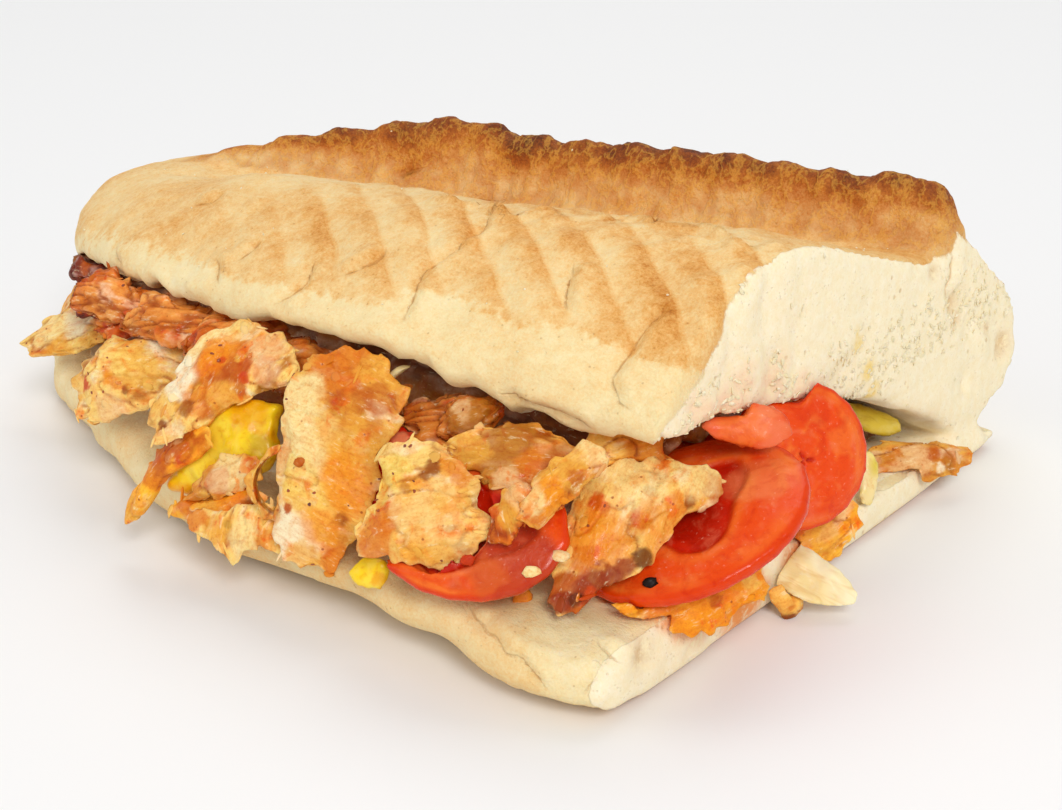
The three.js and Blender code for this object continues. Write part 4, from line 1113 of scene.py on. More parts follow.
# What differs from piece to piece: kind, slot, direction of the fibres in degrees, and marks seen in the
# photograph, each with its pixel, radius in millimetres, colour and strength
CHICKEN = {
    "chicken_slice_left": (PALE, "chicken_pale", 10, (
        ((62, 352), 3.0, "gold", 0.8), ((92, 338), 3.0, "gold", 0.7), ((80, 318), 5.0, "white", 0.6),
        ((50, 330), 4.0, "cream", 0.7), ((100, 322), 1.6, "amber", 0.7),
    )),
    "chicken_wedge_spotted": (PALE, "chicken_pale", -20, (
        ((78, 398), 4.0, "orange", 0.9), ((70, 413), 2.2, "red", 0.9), ((86, 385), 1.4, "red", 0.95),
        ((110, 377), 1.5, "orange", 0.85), ((126, 390), 0.9, "brown", 0.8), ((112, 408), 4.0, "peach", 0.7),
        ((150, 410), 4.5, "tan", 0.6), ((130, 360), 5.0, "butter", 0.5), ((165, 335), 3.0, "white", 0.8),
        ((72, 400), 2.0, "rust", 0.6), ((145, 372), 4.0, "gold", 0.6),
    )),
    "chicken_slice_folded": (PALE, "chicken_golden", 30, (
        ((150, 430), 4.0, "cream", 0.9), ((182, 370), 5.0, "white", 0.9), ((205, 345), 4.0, "cream", 0.8),
        ((228, 366), 5.0, "amber", 0.85), ((236, 368), 2.6, "rust", 0.8), ((216, 374), 2.2, "rust", 0.8),
        ((215, 352), 3.5, "orange", 0.8), ((268, 352), 3.5, "peach", 0.8), ((270, 390), 2.4, "tan", 0.7),
        ((244, 378), 1.4, "red", 0.9), ((222, 360), 1.0, "red", 0.9), ((240, 358), 1.2, "gold", 0.8),
        ((200, 400), 3.0, "amber", 0.6), ((186, 408), 1.6, "brown", 0.7), ((262, 372), 2.5, "pink", 0.7),
        ((163, 425), 0.8, "brown", 0.9), ((225, 398), 3.0, "gold", 0.7), ((240, 388), 1.4, "rust", 0.7),
    )),
    # On the hanging strip the small peach mark is a painted highlight.
    "chicken_strip_hanging": (SAUCY, "chicken_red", 0, (
        ((118, 520), 3.5, "butter", 0.8), ((128, 505), 3.5, "gold", 0.8), ((150, 470), 4.0, "amber", 0.8),
        ((175, 435), 5.0, "rust", 0.85), ((178, 440), 1.0, "peach", 0.8), ((160, 458), 3.2, "rust", 0.75),
    )),
    "chicken_slice_large": (GOLDEN, "chicken_golden", 80, (
        ((350, 362), 7.0, "amber", 0.75), ((325, 375), 5.0, "amber", 0.6), ((380, 378), 4.0, "gold", 0.7),
        ((300, 350), 4.5, "gold", 0.7), ((290, 405), 6.0, "cream", 0.9), ((310, 440), 6.0, "cream", 0.8),
        ((345, 430), 5.0, "gold", 0.6), ((358, 458), 5.0, "gold", 0.7), ((345, 488), 5.0, "orange", 0.8),
        ((300, 485), 5.0, "butter", 0.5), ((290, 540), 5.0, "white", 0.8), ((318, 528), 4.0, "orange", 0.6),
        ((340, 560), 3.0, "amber", 0.8), ((288, 508), 1.0, "rust", 0.95), ((344, 558), 1.3, "rust", 0.9),
        ((280, 455), 3.0, "peach", 0.7), ((362, 396), 2.5, "rust", 0.6), ((335, 400), 2.0, "rust", 0.5),
        ((300, 556), 3.0, "gold", 0.8), ((380, 400), 2.5, "rust", 0.6),
    )),
    "chicken_slice_pale": (PALE, "chicken_pale", 15, (
        ((388, 470), 3.0, "butter", 0.8), ((378, 500), 3.0, "butter", 0.8), ((385, 520), 3.0, "amber", 0.8),
        ((372, 545), 4.0, "amber", 0.8), ((432, 468), 1.4, "brown", 0.85), ((425, 476), 1.0, "brown", 0.8),
        ((405, 488), 1.0, "tan", 0.7), ((462, 470), 2.5, "amber", 0.6), ((430, 520), 6.0, "cream", 0.5),
        ((440, 555), 3.0, "gold", 0.6), ((382, 572), 1.0, "brown", 0.9), ((450, 500), 3.0, "gold", 0.6),
        ((415, 540), 3.0, "gold", 0.5),
    )),
    "chicken_edge_orange": (RED, "chicken_red", 70, (
        ((505, 500), 4.0, "gold", 0.8), ((482, 520), 3.0, "amber", 0.8), ((520, 490), 3.0, "peach", 0.7),
        ((495, 512), 1.2, "red", 0.8), ((488, 528), 1.0, "red", 0.8),
    )),
    "chicken_slice_tan": (GOLDEN, "chicken_golden", 5, (
        ((500, 450), 6.0, "tan", 0.8), ((540, 462), 4.0, "amber", 0.7), ((470, 452), 3.0, "gold", 0.7),
        ((560, 460), 3.0, "tan", 0.8), ((455, 470), 2.5, "amber", 0.6), ((505, 480), 2.6, "peach", 0.8),
        ((520, 430), 3.0, "tan", 0.8),
    )),
    "chicken_shred_diagonal": (GOLDEN, "chicken_golden", 0, (
        ((590, 450), 3.0, "cream", 0.8), ((560, 470), 3.5, "gold", 0.8), ((545, 495), 3.0, "orange", 0.8),
        ((535, 500), 2.0, "cream", 0.7), ((578, 478), 1.6, "rust", 0.7),
    )),
    "chicken_slice_triangle": (PALE, "chicken_pale", 25, (
        ((596, 503), 1.4, "red", 0.95), ((603, 507), 1.0, "red", 0.9), ((638, 520), 1.4, "red", 0.9),
        ((646, 523), 1.0, "rust", 0.8), ((648, 491), 1.0, "brown", 0.6), ((689, 502), 1.3, "brown", 0.8),
        ((716, 487), 2.0, "rust", 0.7), ((640, 480), 5.0, "cream", 0.6), ((600, 545), 6.0, "orange", 0.7),
        ((660, 530), 4.0, "orange", 0.6), ((585, 560), 3.0, "amber", 0.7), ((572, 592), 4.0, "rust", 0.9),
        ((595, 585), 3.0, "maroon", 0.85), ((612, 578), 2.2, "maroon", 0.85), ((645, 556), 1.8, "char", 0.85),
        ((560, 602), 2.2, "maroon", 0.85), ((552, 580), 2.2, "amber", 0.8), ((700, 475), 4.0, "cream", 0.5),
        ((575, 600), 1.2, "char", 0.8), ((590, 592), 1.2, "red", 0.8), ((628, 566), 1.6, "maroon", 0.8),
    )),
    "chicken_ring_curled": (GOLDEN, "chicken_golden", 0, (
        ((262, 480), 3.0, "orange", 0.6), ((256, 465), 2.0, "butter", 0.7),
    )),
    "chicken_layer_upper": (GOLDEN, "chicken_golden", 10, (
        ((230, 475), 4.0, "cream", 0.8), ((215, 480), 2.5, "pink", 0.7),
    )),
    "chicken_layer_lower": (SAUCY, "chicken_red", 10, (
        ((225, 500), 4.0, "orange", 0.85), ((205, 508), 3.0, "gold", 0.8), ((250, 512), 3.0, "rust", 0.7),
        ((190, 500), 2.6, "amber", 0.8),
    )),
    "chicken_flake_jagged": (PALE, "chicken_pale", 80, (
        ((228, 525), 0.7, "black", 0.95), ((190, 520), 3.0, "amber", 0.8), ((240, 540), 4.0, "cream", 0.7),
        ((215, 530), 3.0, "gold", 0.7),
    )),
    "chicken_slice_inner_end": (GOLDEN, "chicken_golden", 0, ()),
    "chicken_chunk_round": (TUCKED, "chicken_red", 0, (
        ((470, 410), 4.0, "tan", 0.9), ((462, 405), 2.0, "peach", 0.6),
    )),
    "chicken_shreds_orange": (RED, "chicken_red", 0, (
        ((140, 310), 4.0, "amber", 0.8), ((170, 305), 4.0, "amber", 0.7), ((120, 330), 3.0, "red", 0.7),
        ((150, 300), 2.0, "peach", 0.7),
    )),
    "chicken_scrap_charred_outer": (DARK, "chicken_charred", 0, (((85, 268), 2.0, "rust", 0.8),)),
    "chicken_scrap_charred_inner": (DARK, "chicken_charred", 0, (
        ((105, 290), 1.6, "amber", 0.8), ((115, 297), 1.6, "pink", 0.8),
    )),
    # On the end scraps the small white mark is a painted highlight.
    "chicken_scraps_end": (GOLDEN, "chicken_red", 10, (
        ((920, 462), 3.0, "peach", 0.8), ((900, 468), 2.0, "peach", 0.7), ((950, 462), 2.0, "tan", 0.7),
        ((940, 468), 1.0, "white", 0.9), ((935, 455), 1.5, "rust", 0.7),
    )),
    "chicken_flake_end_high": (SAUCY, "chicken_pale", 10, (((825, 540), 3.0, "gold", 0.7),)),
    "chicken_flake_end_low": (SAUCY, "chicken_pale", 10, (
        ((740, 590), 6.0, "orange", 0.85), ((690, 605), 5.0, "orange", 0.8), ((765, 600), 4.0, "gold", 0.7),
        ((660, 612), 3.0, "amber", 0.7), ((715, 600), 1.4, "rust", 0.7), ((750, 580), 2.0, "butter", 0.7),
    )),
    "chicken_tip_browned": (GOLDEN, "chicken_charred", 70, (((789, 618), 2.0, "brown", 0.9),)),
}
SLICES_IN_A_ROW = 6
for k in range(1, SLICES_IN_A_ROW + 1):
    even = k % 2 == 0
    CHICKEN[f"chicken_slice_tucked_{k}"] = (TUCKED, "chicken_golden" if even else "chicken_red", 5 * k, ())
    kind = PALE if even else GOLDEN
    CHICKEN[f"chicken_slice_end_{k}"] = (kind, "chicken_pale" if even else "chicken_golden", 9 * k, ())

# Power that deepens the tints, and length in millimetres from which a slice has its full relief
RICHNESS = 1.2
FULL_RELIEF_LENGTH = 14


def chicken_tint(points, local, rim, valley, kind, seed):
    """Colours of roast chicken, with painted shade in its valleys and gaps, and how moist it is, both from 0
    to 1
    """
    flesh, second, sauce, torn = (colour(kind[part]) for part in ("flesh", "second", "sauce", "rim"))
    film = rough_noise(local / np.array((5.2, 2.6, 2.6)), 1.0, seed + 5, 4)
    wet = smooth_step(0.08, 0.34, film)
    light = smooth_step(0.1, 0.35, rough_noise(local, (4.5, 1.6, 2.0), seed + 12, 4)) * (1 - wet)
    edge = smooth_step(0.86, 1.0, rim + 0.1 * noise(points, 1.5, seed + 6))
    tint = dyed(flesh, second, 0.8 * smooth_step(-0.1, 0.3, rough_noise(points, 6.0, seed, 4)))
    tint = dyed(tint, sauce, 0.72 * wet)
    tint = dyed(tint, mix(flesh, 1.0, 0.5), 0.55 * light)
    # Valleys and gaps between shreds are painted darker: sauce gathered there, and painted shade.
    tint = dyed(tint, 0.62 * sauce, 0.75 * smooth_step(0.15, 0.8, valley))
    tint = dyed(tint, torn, 0.6 * edge)
    return tint**RICHNESS * (1 + 0.08 * noise(points, 0.9, seed + 7))[:, None], wet


def chicken_relief(points, local, rim, small, kind, seed):
    """Height over a slice in millimetres, and how deep its valleys and how high its layers are"""
    fibres = rough_noise(local / np.array((5.0, 0.7, 0.8)), 1.0, seed + 1, 2)
    valley = 1 - shallow_creases(local, (7.0, 3.2, 3.0), seed + 2, 0.2)
    layer = smooth_step(-0.04, 0.08, rough_noise(local, (8.0, 3.6, 4.0), seed + 11, 4))
    folds = noise(local, (9.0, 2.8, 3.4), seed + 4)
    height = 0.25 * noise(points, 7.5, seed + 3) + 0.2 * folds - 0.34 * valley + 0.24 * layer
    inner = mix(1.0, 0.4, smooth_step(0.8, 1.0, rim))
    if kind in (RED, DARK, TUCKED):
        gaps = 1 - shallow_creases(local, (6.0, 1.9, 2.2), seed + 13, 0.34)
        height += 0.5 * noise(local, (5.0, 1.6, 1.6), seed + 14) - 0.8 * gaps
        valley = np.maximum(valley, gaps)
        inner = 1.0
    return small * inner * height + 0.09 * inner * fibres, valley, layer


def make_chicken(material):
    """Dresses the slices, and gives each one's surface with its torn rim, its tints and how moist it is"""
    dressed = []
    for k, (node, (kind, slot, turn, marks)) in enumerate(CHICKEN.items()):
        seed = 100 + 10 * k
        piece = Slice(node, CHICKEN_CELL, 4, 0.28)
        surface = piece.surface
        points = surface.points.copy()
        local = piece.flat(turn)
        rim = piece.rim()
        small = min(1.0, np.ptp(local[:, 0]) / FULL_RELIEF_LENGTH)
        flatness = smooth_step(1.2, 0.5, np.ptp(local[:, 2]) / np.ptp(local[:, 1]))
        across = local * (1, 1, 0.2)
        teeth = 1.7 * np.abs(noise(across, 3.6, seed)) - 0.55 + 0.5 * noise(across, 1.3, seed + 9)
        piece.pull_in(small * 1.2 * np.clip(teeth, -0.6, 1.0) * smooth_step(0.75, 1.0, rim))
        piece.thin_out(rim, 0.62 * flatness)
        height, valley, layer = chicken_relief(points, local, rim, small, kind, seed)
        surface.push(height)
        tint, wet = chicken_tint(points, local, rim, valley, kind, seed)
        tint = dyed(tint, tint * 1.25, 0.5 * layer)
        tint = piece.mark(tint, marks, seed + 20, PAINT)
        char = smooth_step(0.4, 0.8, rough_noise(points, 2.2, seed + 8)) * (0.7 if kind is DARK else 0.1)
        piece.finish(slot, material, tint, turn, char=char, wet=wet)
        dressed.append((surface, small * smooth_step(0.6, 1.0, rim), tint, wet))
    return dressed


def make_heap(material):
    """Dresses the heap deep in the split, in colours darkened as painted shade"""
    piece = Slice("chicken_heap", HEAP_CELL, 6)
    surface = piece.surface
    points = surface.points.copy()
    valley = 1 - shallow_creases(points, (9.0, 5.0, 2.6), 301, 0.5)
    surface.push(-1.0 * valley + 0.5 * noise(points, 2.5, 302))
    none = np.zeros(surface.count)
    tint, _ = chicken_tint(points, piece.flat(), none, valley, HEAP, 303)
    piece.finish("chicken_golden", material, tint, char=none, wet=none)


# Colours of tomato. For each round slice: how far its gel chambers reach from its middle, and its marks. For
# each torn scrap: its two colours and its marks
TOMATO = {
    "wall": "#E84A0A", "streak": "#F27A2C", "gel": "#D02204", "skin": "#DE3E04", "seed": "#F28A48",
    "shine": "#F69458", "pale": "#EC7244", "salmon": "#F09060", "dark": "#B81A02", "white": "#FFE0C4",
    "dull": "#BC3C1C",
}
TOMATOES = {
    # The shine mark on the front slice is a painted highlight.
    "tomato_slice_front": (0.52, (
        ((765, 478), 5.0, "shine", 0.4), ((700, 520), 4.0, "dark", 0.6), ((640, 598), 4.0, "wall", 0.5),
    )),
    "tomato_slice_left": (0.6, (
        ((520, 560), 7.0, "dull", 0.85), ((505, 540), 5.0, "dull", 0.85), ((490, 575), 3.0, "streak", 0.3),
    )),
    "tomato_slice_end": (0.0, (((842, 440), 3.0, "streak", 0.5), ((815, 410), 4.0, "gel", 0.3))),
}
SCRAPS = {
    "tomato_scrap_pale": ("pale", "wall", (
        ((745, 425), 4.0, "streak", 0.6), ((770, 410), 2.0, "salmon", 0.4),
    )),
    "tomato_slice_back": ("gel", "wall", (
        ((650, 450), 4.0, "pale", 0.4), ((700, 455), 4.0, "dark", 0.4),
    )),
    "tomato_piece_small": ("dark", "gel", (
        ((400, 440), 1.5, "salmon", 0.8), ((396, 452), 0.6, "white", 0.8),
    )),
}


def make_tomatoes(material):
    """Dresses round slices and torn scraps, and gives the surfaces of the round ones"""
    paint = {name: colour(code) for name, code in TOMATO.items()}
    made = []
    for k, (node, (hollow, marks)) in enumerate(TOMATOES.items()):
        seed = 400 + 10 * k
        piece = Slice(node, TOMATO_CELL, 10)
        surface = piece.surface
        points = surface.points.copy()
        local = piece.flat()
        rim = piece.rim()
        angle = np.arctan2(local[:, 1], local[:, 0])
        facing = smooth_step(0.9, 0.82, rim)
        chambers = hollow + 0.1 * np.sin(3 * angle + k) + 0.06 * noise(points, 4, seed)
        gel = smooth_step(chambers + 0.04, chambers - 0.04, rim) * facing
        round_place = np.stack([angle * 5.0, rim * 9.0, local[:, 2] * 0.5], axis=1)
        streaks = rough_noise(round_place, (3.0, 1.2, 3.0), seed + 2)
        surface.push(-0.7 * gel + 0.14 * noise(points, 3, seed + 1) * facing + 0.12 * streaks * facing)
        ring = smooth_step(0.76, 0.88, rim) * smooth_step(0.96, 0.9, rim)
        ring = ring * patches(points, 5, seed + 6, -0.4, 0.4)
        border = bell(rim - chambers - 0.06, 0.05) * facing * (hollow > 0)
        wet_gel = dyed(paint["gel"], paint["dark"], patches(points, 3, seed + 7, -0.3, 0.3))
        specks = smooth_step(0.3, 0.6, rough_noise(local, 1.6, seed + 4, 3)) * facing
        tint = dyed(paint["wall"], paint["streak"], 0.75 * smooth_step(0.0, 0.5, streaks))
        tint = dyed(tint, paint["streak"], 0.5 * ring)
        tint = dyed(tint, paint["streak"], 0.5 * border)
        tint = dyed(tint, wet_gel, gel)
        tint = dyed(tint, paint["seed"], 0.3 * specks)
        tint = dyed(tint, paint["skin"], smooth_step(0.92, 0.97, rim))
        tint = piece.mark(tint, marks, seed + 5, TOMATO)
        piece.finish("tomato", material, tint, flesh=facing)
        made.append(surface)
    for k, (node, (first, second, marks)) in enumerate(SCRAPS.items()):
        seed = 440 + 10 * k
        piece = Slice(node, TOMATO_CELL, 6)
        surface = piece.surface
        points = surface.points.copy()
        ragged = 0.6 + 0.6 * noise(points, 1.6, seed) + 0.3 * noise(points, 0.8, seed + 6)
        piece.pull_in(ragged * smooth_step(0.8, 1, piece.rim()))
        streaks = rough_noise(piece.flat(), (6.0, 1.6, 2.0), seed + 3)
        surface.push(0.25 * streaks + 0.4 * noise(points, 5, seed + 2))
        tint = dyed(paint[first], paint[second], smooth_step(-0.2, 0.5, streaks))
        tint = piece.mark(tint, marks, seed + 5, TOMATO)
        piece.finish("tomato", material, tint, flesh=np.ones(surface.count))
    return made


# Colours of pickles, leaf and onion. For each piece: slot, two colours, marks, and height of its relief
GREENS = {
    "lemon": "#FDD51C", "golden": "#F2A808", "lime": "#D0B020", "bright": "#FEE444", "olive": "#94801C",
    "yellow": "#DCC03C", "shade": "#BC9A20", "pale": "#FBF0C4", "straw": "#F6DE9C", "onion": "#F2DCA4",
}
VEGETABLES = {
    # On the pepper, the golden mark at its top and the lime marks along its right and lower side are painted
    # shade.
    "pickled_pepper": ("pepper", "lemon", "golden", (
        ((215, 435), 4.0, "bright", 0.7), ((250, 412), 4.0, "golden", 0.8), ((258, 450), 3.0, "lime", 0.7),
        ((190, 465), 3.0, "bright", 0.7), ((235, 445), 3.0, "lemon", 0.7), ((230, 470), 3.0, "lime", 0.5),
    ), 1.0),
    "pepper_sliver": ("pepper", "straw", "yellow", (), 0.3),
    "pepper_bit": ("pepper", "lemon", "golden", (
        ((370, 582), 1.5, "bright", 0.7), ((388, 588), 2.0, "golden", 0.9), ((378, 578), 1.2, "golden", 0.8),
    ), 0.8),
    "pickle_slice": ("pickle", "yellow", "shade", (
        ((870, 425), 3.0, "yellow", 0.7), ((845, 402), 2.5, "olive", 0.8), ((850, 395), 1.6, "olive", 0.7),
    ), 0.3),
    "leaf_white": ("leaf", "pale", "straw", (((775, 565), 4.0, "straw", 0.5),), 0.5),
    "onion_sliver": ("onion", "onion", "straw", (), 0.15),
}

# Materials of the soft vegetables: name, how much light scatters in them, stretch of the veins, roughness,
# and light and dark colour
VEGETABLE_MATERIALS = {
    "pepper": ("pickled_pepper_flesh", 0.15, 1.0, 0.2, "#FFE65A", "#E8B040"),
    "pickle": ("pickle_flesh", 0.2, 0.3, 0.2, "#E4D27A", "#C8A840"),
    "leaf": ("pale_leaf", 0.25, 0.12, 0.35, "#FBF0D0", "#E2BC74"),
    "onion": ("pale_onion", 0.25, 0.2, 0.25, "#FBEFD0", "#D8AC6C"),
}


def make_vegetables():
    materials = {slot: soft_vegetable_material(*given) for slot, given in VEGETABLE_MATERIALS.items()}
    for k, (node, (slot, first, second, marks, relief)) in enumerate(VEGETABLES.items()):
        seed = 500 + 10 * k
        piece = Slice(node, LEAF_CELL if slot in ("leaf", "onion") else TOMATO_CELL, 8)
        surface = piece.surface
        points = surface.points.copy()
        ridges = noise(piece.flat(), (9.0, 1.6, 2.0), seed + 3)
        bumps = 0.5 * noise(points, 3.0, seed) + 0.2 * noise(points, 1.2, seed + 1)
        surface.push(relief * (bumps + 0.35 * ridges))
        tint = dyed(colour(GREENS[first]), colour(GREENS[second]), patches(points, 3.2, seed + 2, -0.3, 0.5))
        tint = piece.mark(tint, marks, seed + 5, GREENS)
        piece.finish(slot, materials[slot], tint)


# What is scattered over the bread and the filling

CRUMB_COLOUR = "#F8E6C0"
LEAST_AMOUNT = 0.02
SCATTER_INPUTS = (
    ("Geometry", "NodeSocketGeometry"), ("Piece", "NodeSocketObject"), ("Density", "NodeSocketFloat"),
    ("Seed", "NodeSocketInt"), ("Smallest", "NodeSocketVector"), ("Largest", "NodeSocketVector"),
    ("Tilt", "NodeSocketFloat"), ("Material", "NodeSocketMaterial"),
)


def scatter_group():
    """Geometry tree that stands turned copies of a piece on a mesh, most where the mesh's amount is high"""
    group = bpy.data.node_groups.new("scattered_pieces", "GeometryNodeTree")
    for name, kind in SCATTER_INPUTS:
        group.interface.new_socket(name, in_out="INPUT", socket_type=kind)
    group.interface.new_socket("Geometry", in_out="OUTPUT", socket_type="NodeSocketGeometry")
    tree = Tree(group.nodes, group.links)
    given = tree.add("NodeGroupInput")
    numbers = {"data_type": "FLOAT"}
    amount = tree.add("GeometryNodeInputNamedAttribute", numbers, {"Name": "amount"})["Attribute"]
    places = tree.add("GeometryNodeDistributePointsOnFaces", {"distribute_method": "RANDOM"}, {
        "Mesh": given["Geometry"], "Density": amount * given["Density"], "Seed": given["Seed"],
    })
    vectors = {"data_type": "FLOAT_VECTOR"}
    tilt = given["Tilt"]
    lowest = tree.add("ShaderNodeCombineXYZ", None, {"X": 0 - tilt, "Y": 0 - tilt})["Vector"]
    highest = tree.add("ShaderNodeCombineXYZ", None, {"X": tilt, "Y": tilt, "Z": math.tau})["Vector"]
    angles = tree.add("FunctionNodeRandomValue", vectors, {
        "Min": lowest, "Max": highest, "Seed": given["Seed"],
    })["Value"]
    turn = tree.add("FunctionNodeRotateRotation", {"rotation_space": "LOCAL"}, {
        "Rotation": places["Rotation"], "Rotate By": angles,
    })["Rotation"]
    size = tree.add("FunctionNodeRandomValue", vectors, {
        "Min": given["Smallest"], "Max": given["Largest"], "Seed": given["Seed"],
    })["Value"]
    piece = tree.add("GeometryNodeObjectInfo", None, {"Object": given["Piece"]})["Geometry"]
    copies = tree.add("GeometryNodeInstanceOnPoints", None, {
        "Points": places["Points"], "Instance": piece, "Rotation": turn, "Scale": size,
    })["Instances"]
    solid = tree.add("GeometryNodeRealizeInstances", None, {"Geometry": copies})["Geometry"]
    done = tree.add("GeometryNodeSetMaterial", None, {
        "Geometry": solid, "Material": given["Material"],
    })["Geometry"]
    tree.add("NodeGroupOutput", None, {"Geometry": done})
    return group


# Lumps that are scattered: half sizes in millimetres, seed, unevenness and bend
LUMPS = {
    "tuft": ((1.0, 0.7, 0.6), 601, 0.3, 0.0),
    "strand": ((1.4, 0.3, 0.2), 611, 0.25, -0.05),
    "flap": ((1.0, 0.7, 0.13), 612, 0.35, -0.1),
    "speck": ((0.3, 0.24, 0.1), 613, 0.3, 0.0),
    "drop": ((0.6, 0.45, 0.2), 614, 0.35, 0.0),
}

# Scattered pieces: lump, material, slot, number on a square millimetre, least and greatest scale along the
# lump's axes, greatest tilt in degrees, and seed
SCATTERED = {
    "crumb_tufts": ("tuft", "bread", "bread", 0.5, (0.3, 0.3, 0.2), (0.8, 0.75, 0.4), 30, 11),
    "crumb_grains": ("tuft", "bread", "bread", 0.05, (0.3, 0.3, 0.1), (0.7, 0.65, 0.25), 20, 12),
    "loose_crumbs": ("tuft", "bread", "bread", 0.006, (0.15, 0.12, 0.1), (0.4, 0.35, 0.25), 180, 13),
    "torn_strands": ("strand", "chicken", "chicken_golden", 0.035, (0.5, 0.6, 0.6), (1.2, 1.2, 1.2), 5, 21),
    "torn_flaps": ("flap", "chicken", "chicken_pale", 0.035, (0.5, 0.5, 0.6), (1.3, 1.3, 1.2), 10, 22),
    "seasoning_specks": (
        "speck", "seasoning", "chicken_charred", 0.035, (0.4, 0.4, 0.5), (1.3, 1.3, 1.2), 15, 23,
    ),
    "sauce_drops": ("drop", "sauce", "chicken_red", 0.05, (0.4, 0.4, 0.4), (1.4, 1.4, 0.9), 8, 24),
}


def lump(name, half_sizes, seed, unevenness, bend=0.0):
    """Uneven lump, bent along its first axis"""
    build = bmesh.new()
    bmesh.ops.create_icosphere(build, subdivisions=2, radius=1.0)
    points = np.array([vertex.co for vertex in build.verts])
    points *= (1 + unevenness * noise(points * 3 + 7, 1.6, seed))[:, None] * np.array(half_sizes)
    points[:, 2] += bend * points[:, 0] ** 2
    for vertex, point in zip(build.verts, points * MM):
        vertex.co = point
    for face in build.faces:
        face.smooth = True
    mesh = bpy.data.meshes.new(name)
    build.to_mesh(mesh)
    build.free()
    return bpy.data.objects.new(name, mesh)


def host_mesh(parts):
    """One mesh of the faces that carry any amount, from surfaces with their amounts, tints and moisture"""
    points, faces = [], []
    stored = {"amount": [], "tint": [], "wet": []}
    done = 0
    for surface, *shares in parts:
        corners = read(surface.mesh.loops, "vertex_index", 1, np.int32)
        totals = read(surface.mesh.polygons, "loop_total", 1, np.int32)
        starts = read(surface.mesh.polygons, "loop_start", 1, np.int32)[totals == 4]
        quads = corners[starts[:, None] + np.arange(4)]
        quads = quads[shares[0][quads].max(1) > LEAST_AMOUNT]
        used, renumbered = np.unique(quads, return_inverse=True)
        points.append(surface.points[used])
        faces.append(renumbered.reshape(-1, 4) + done)
        for values, share in zip(stored.values(), shares):
            values.append(share[used])
        done += len(used)
    mesh = bpy.data.meshes.new("scatter_host")
    mesh.from_pydata(np.concatenate(points) * MM, [], np.concatenate(faces))
    for name, values in stored.items():
        store(mesh, name, np.concatenate(values), "FLOAT_COLOR" if name == "tint" else "FLOAT")
    return mesh


def scatter(name, group, parts, piece, material, slot, per_square_mm, smallest, largest, tilt, seed):
    holder = link(bpy.data.objects.new(name, host_mesh(parts)))
    modifier = holder.modifiers.new("scattered pieces", "NODES")
    modifier.node_group = group
    given = {
        "Piece": piece, "Density": per_square_mm / MM**2, "Seed": seed, "Smallest": smallest,
        "Largest": largest, "Tilt": math.radians(tilt), "Material": material,
    }
    for item in group.interface.items_tree:
        if item.in_out == "INPUT" and item.name in given:
            modifier[item.identifier] = given[item.name]
    make_plain(holder)
    hand_over(holder, slot)


def scatter_all(bread, dressed, materials):
    none = np.zeros(bread.count)
    cream = np.tile(colour(CRUMB_COLOUR), (bread.count, 1))
    x, z = bread.points[:, 0], bread.points[:, 2]
    cut = bread.crumb * smooth_step(CUT_FACE_FROM - 1, CUT_FACE_FROM + 1, x)
    lower_edge = cut * smooth_step(38, 30, z) * smooth_step(22, 26, z)
    top = smooth_step(0.2, 0.6, bread.normals()[:, 2]) * (1 - bread.crumb) * smooth_step(30, 34, z)
    seasoned = []
    saucy = []
    for surface, _, tint, wet in dressed:
        patchy = patches(surface.points, 5.0, 603, 0.0, 0.5)
        seasoned.append((surface, patchy, tint, wet))
        saucy.append((surface, patchy * smooth_step(0.4, 0.9, wet), tint * colour("#F0A050"), wet))
    carriers = {
        "crumb_tufts": [(bread, np.maximum(lower_edge, bread.tufts), cream, none)],
        "crumb_grains": [(bread, cut * patches(bread.points, 4.0, 602, 0.1, 0.5), cream, none)],
        "loose_crumbs": [(bread, top, cream, none)],
        "torn_strands": dressed,
        "torn_flaps": dressed,
        "seasoning_specks": seasoned,
        "sauce_drops": saucy,
    }
    group = scatter_group()
    lumps = {name: lump(name, *shape) for name, shape in LUMPS.items()}
    for name, (lump_name, finish, slot, *numbers) in SCATTERED.items():
        scatter(name, group, carriers[name], lumps[lump_name], materials[finish], slot, *numbers)


# Single seeds and bits: pixel of the photograph, half sizes in millimetres, colour, slot
BITS = {
    "pepper_seed": ((650, 583), (1.1, 0.75, 0.6), "#1A0C08", "chicken_charred"),
    "pale_bit": ((532, 571), (1.2, 0.8, 0.35), "#FBE6A4", "onion"),
    "orange_bit": ((522, 600), (1.2, 1.9, 0.5), "#EE8C1E", "chicken_red"),
    "cream_bit": ((560, 556), (1.3, 0.8, 0.5), "#F6D9A0", "chicken_pale"),
    "red_bit": ((468, 560), (1.0, 0.7, 0.4), "#C83C0C", "tomato"),
    "amber_bit": ((300, 462), (0.9, 0.7, 0.4), "#C46A1C", "chicken_red"),
}
BIT_RISE = 0.2


def add_bits(surfaces, material):
    """Lays single bits on the nearest surface that the camera sees at their pixels"""
    trees = [surface.tree() for surface in surfaces]
    for k, (name, (pixel, half_sizes, code, slot)) in enumerate(BITS.items()):
        found = [place for tree in trees for place in seen_points(tree, [pixel])]
        if not found:
            continue
        nearest = min(found, key=lambda place: np.linalg.norm(place - CAMERA_PLACE_MM))
        piece = lump(name, half_sizes, 640 + k, 0.35)
        surface = Surface(link(piece))
        turned = surface.points @ np.array((VIEW_RIGHT, VIEW_UP, VIEW_BACK))
        surface.points = turned + nearest + BIT_RISE * VIEW_BACK
        surface.paint("tint", np.tile(colour(code), (surface.count, 1)), "FLOAT_COLOR")
        surface.paint("grain_place", surface.points * MM, "FLOAT_VECTOR")
        piece.data.materials.append(material)
        surface.finish(slot)


# Floor and light

FLOOR_SIDE = 6.0
WORLD_STRENGTH = 0.5
LAMP_TARGET = Vector((0, 0, 0.02))

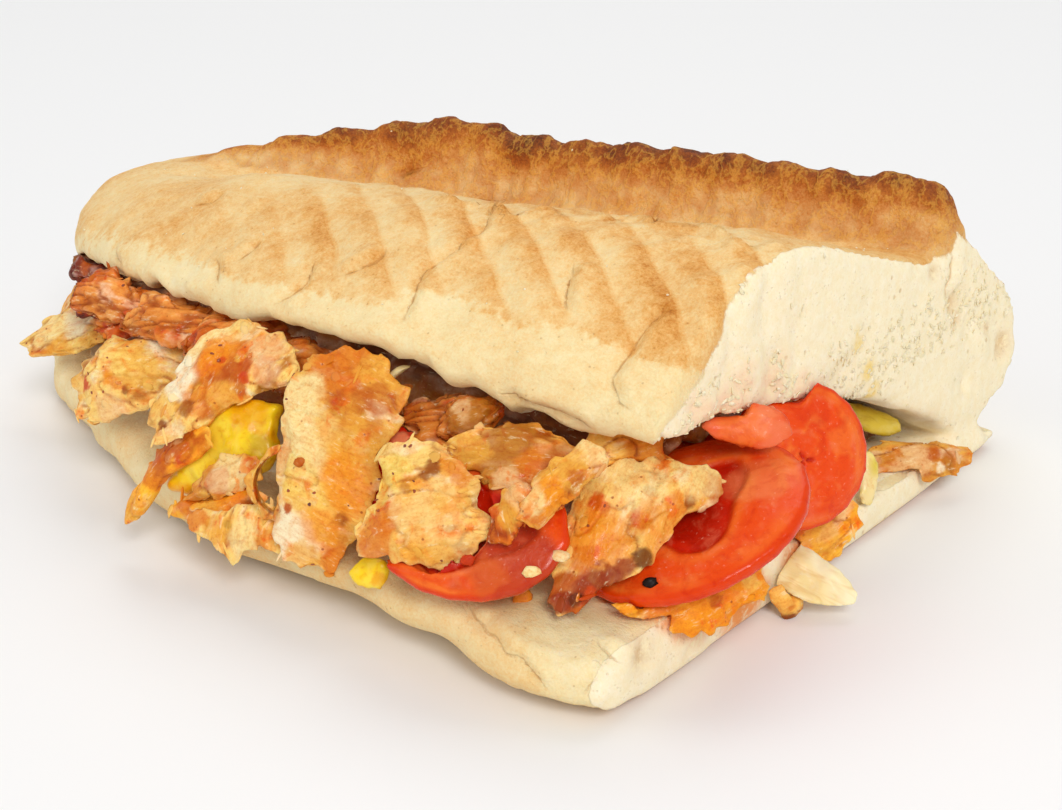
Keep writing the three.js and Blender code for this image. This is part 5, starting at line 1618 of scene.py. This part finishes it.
# Lamps: place and size in metres, power in watts and colour
LAMPS = {
    "key_softbox": ((0.95, -0.7, 0.95), (0.5, 0.5), 10.5, (1.0, 0.995, 0.985)),
    "fill_softbox": ((-0.9, -0.9, 0.6), (0.9, 0.7), 2.8, (1.0, 0.99, 0.98)),
    "top_softbox": ((-0.3, 0.6, 1.2), (0.9, 0.9), 5.2, (1.0, 1.0, 1.0)),
}


def add_floor():
    build = bmesh.new()
    bmesh.ops.create_grid(build, x_segments=2, y_segments=2, size=FLOOR_SIDE / 2)
    mesh = bpy.data.meshes.new("pale_floor")
    build.to_mesh(mesh)
    build.free()
    floor = link(bpy.data.objects.new("pale_floor", mesh))
    material, tree = new_material("pale_table")
    finish_surface(tree, {"Base Color": rgba("#F4F4F4"), "Roughness": 0.7, "Specular IOR Level": 0.1})
    mesh.materials.append(material)


def add_lights():
    world = bpy.data.worlds.new("studio")
    bpy.context.scene.world = world
    world.use_nodes = True
    background = world.node_tree.nodes["Background"]
    background.inputs["Color"].default_value = (1, 1, 1, 1)
    background.inputs["Strength"].default_value = WORLD_STRENGTH
    for name, (place, size, power, tone) in LAMPS.items():
        lamp = bpy.data.lights.new(name, "AREA")
        lamp.shape = "RECTANGLE"
        lamp.size, lamp.size_y = size
        lamp.energy = power
        lamp.color = tone
        holder = link(bpy.data.objects.new(name, lamp))
        holder.location = place
        holder.rotation_euler = (LAMP_TARGET - Vector(place)).to_track_quat("-Z", "Y").to_euler()
    bpy.context.scene.view_settings.view_transform = "Standard"


add_camera()
add_floor()
add_lights()
materials = {
    "bread": bread_material(),
    "chicken": chicken_material(),
    "seasoning": speck_material("seasoning", "#5A1E08", "#B8500F", 0.35, 0.3),
    "sauce": speck_material("orange_sauce", "#D86A10", "#F09A2C", 0.1, 0.8),
}
bread = make_bread(materials["bread"])
dressed = make_chicken(materials["chicken"])
make_heap(materials["chicken"])
tomatoes = make_tomatoes(tomato_material())
make_vegetables()
scatter_all(bread, dressed, materials)
add_bits([bread, *(part[0] for part in dressed), *tomatoes], materials["chicken"])
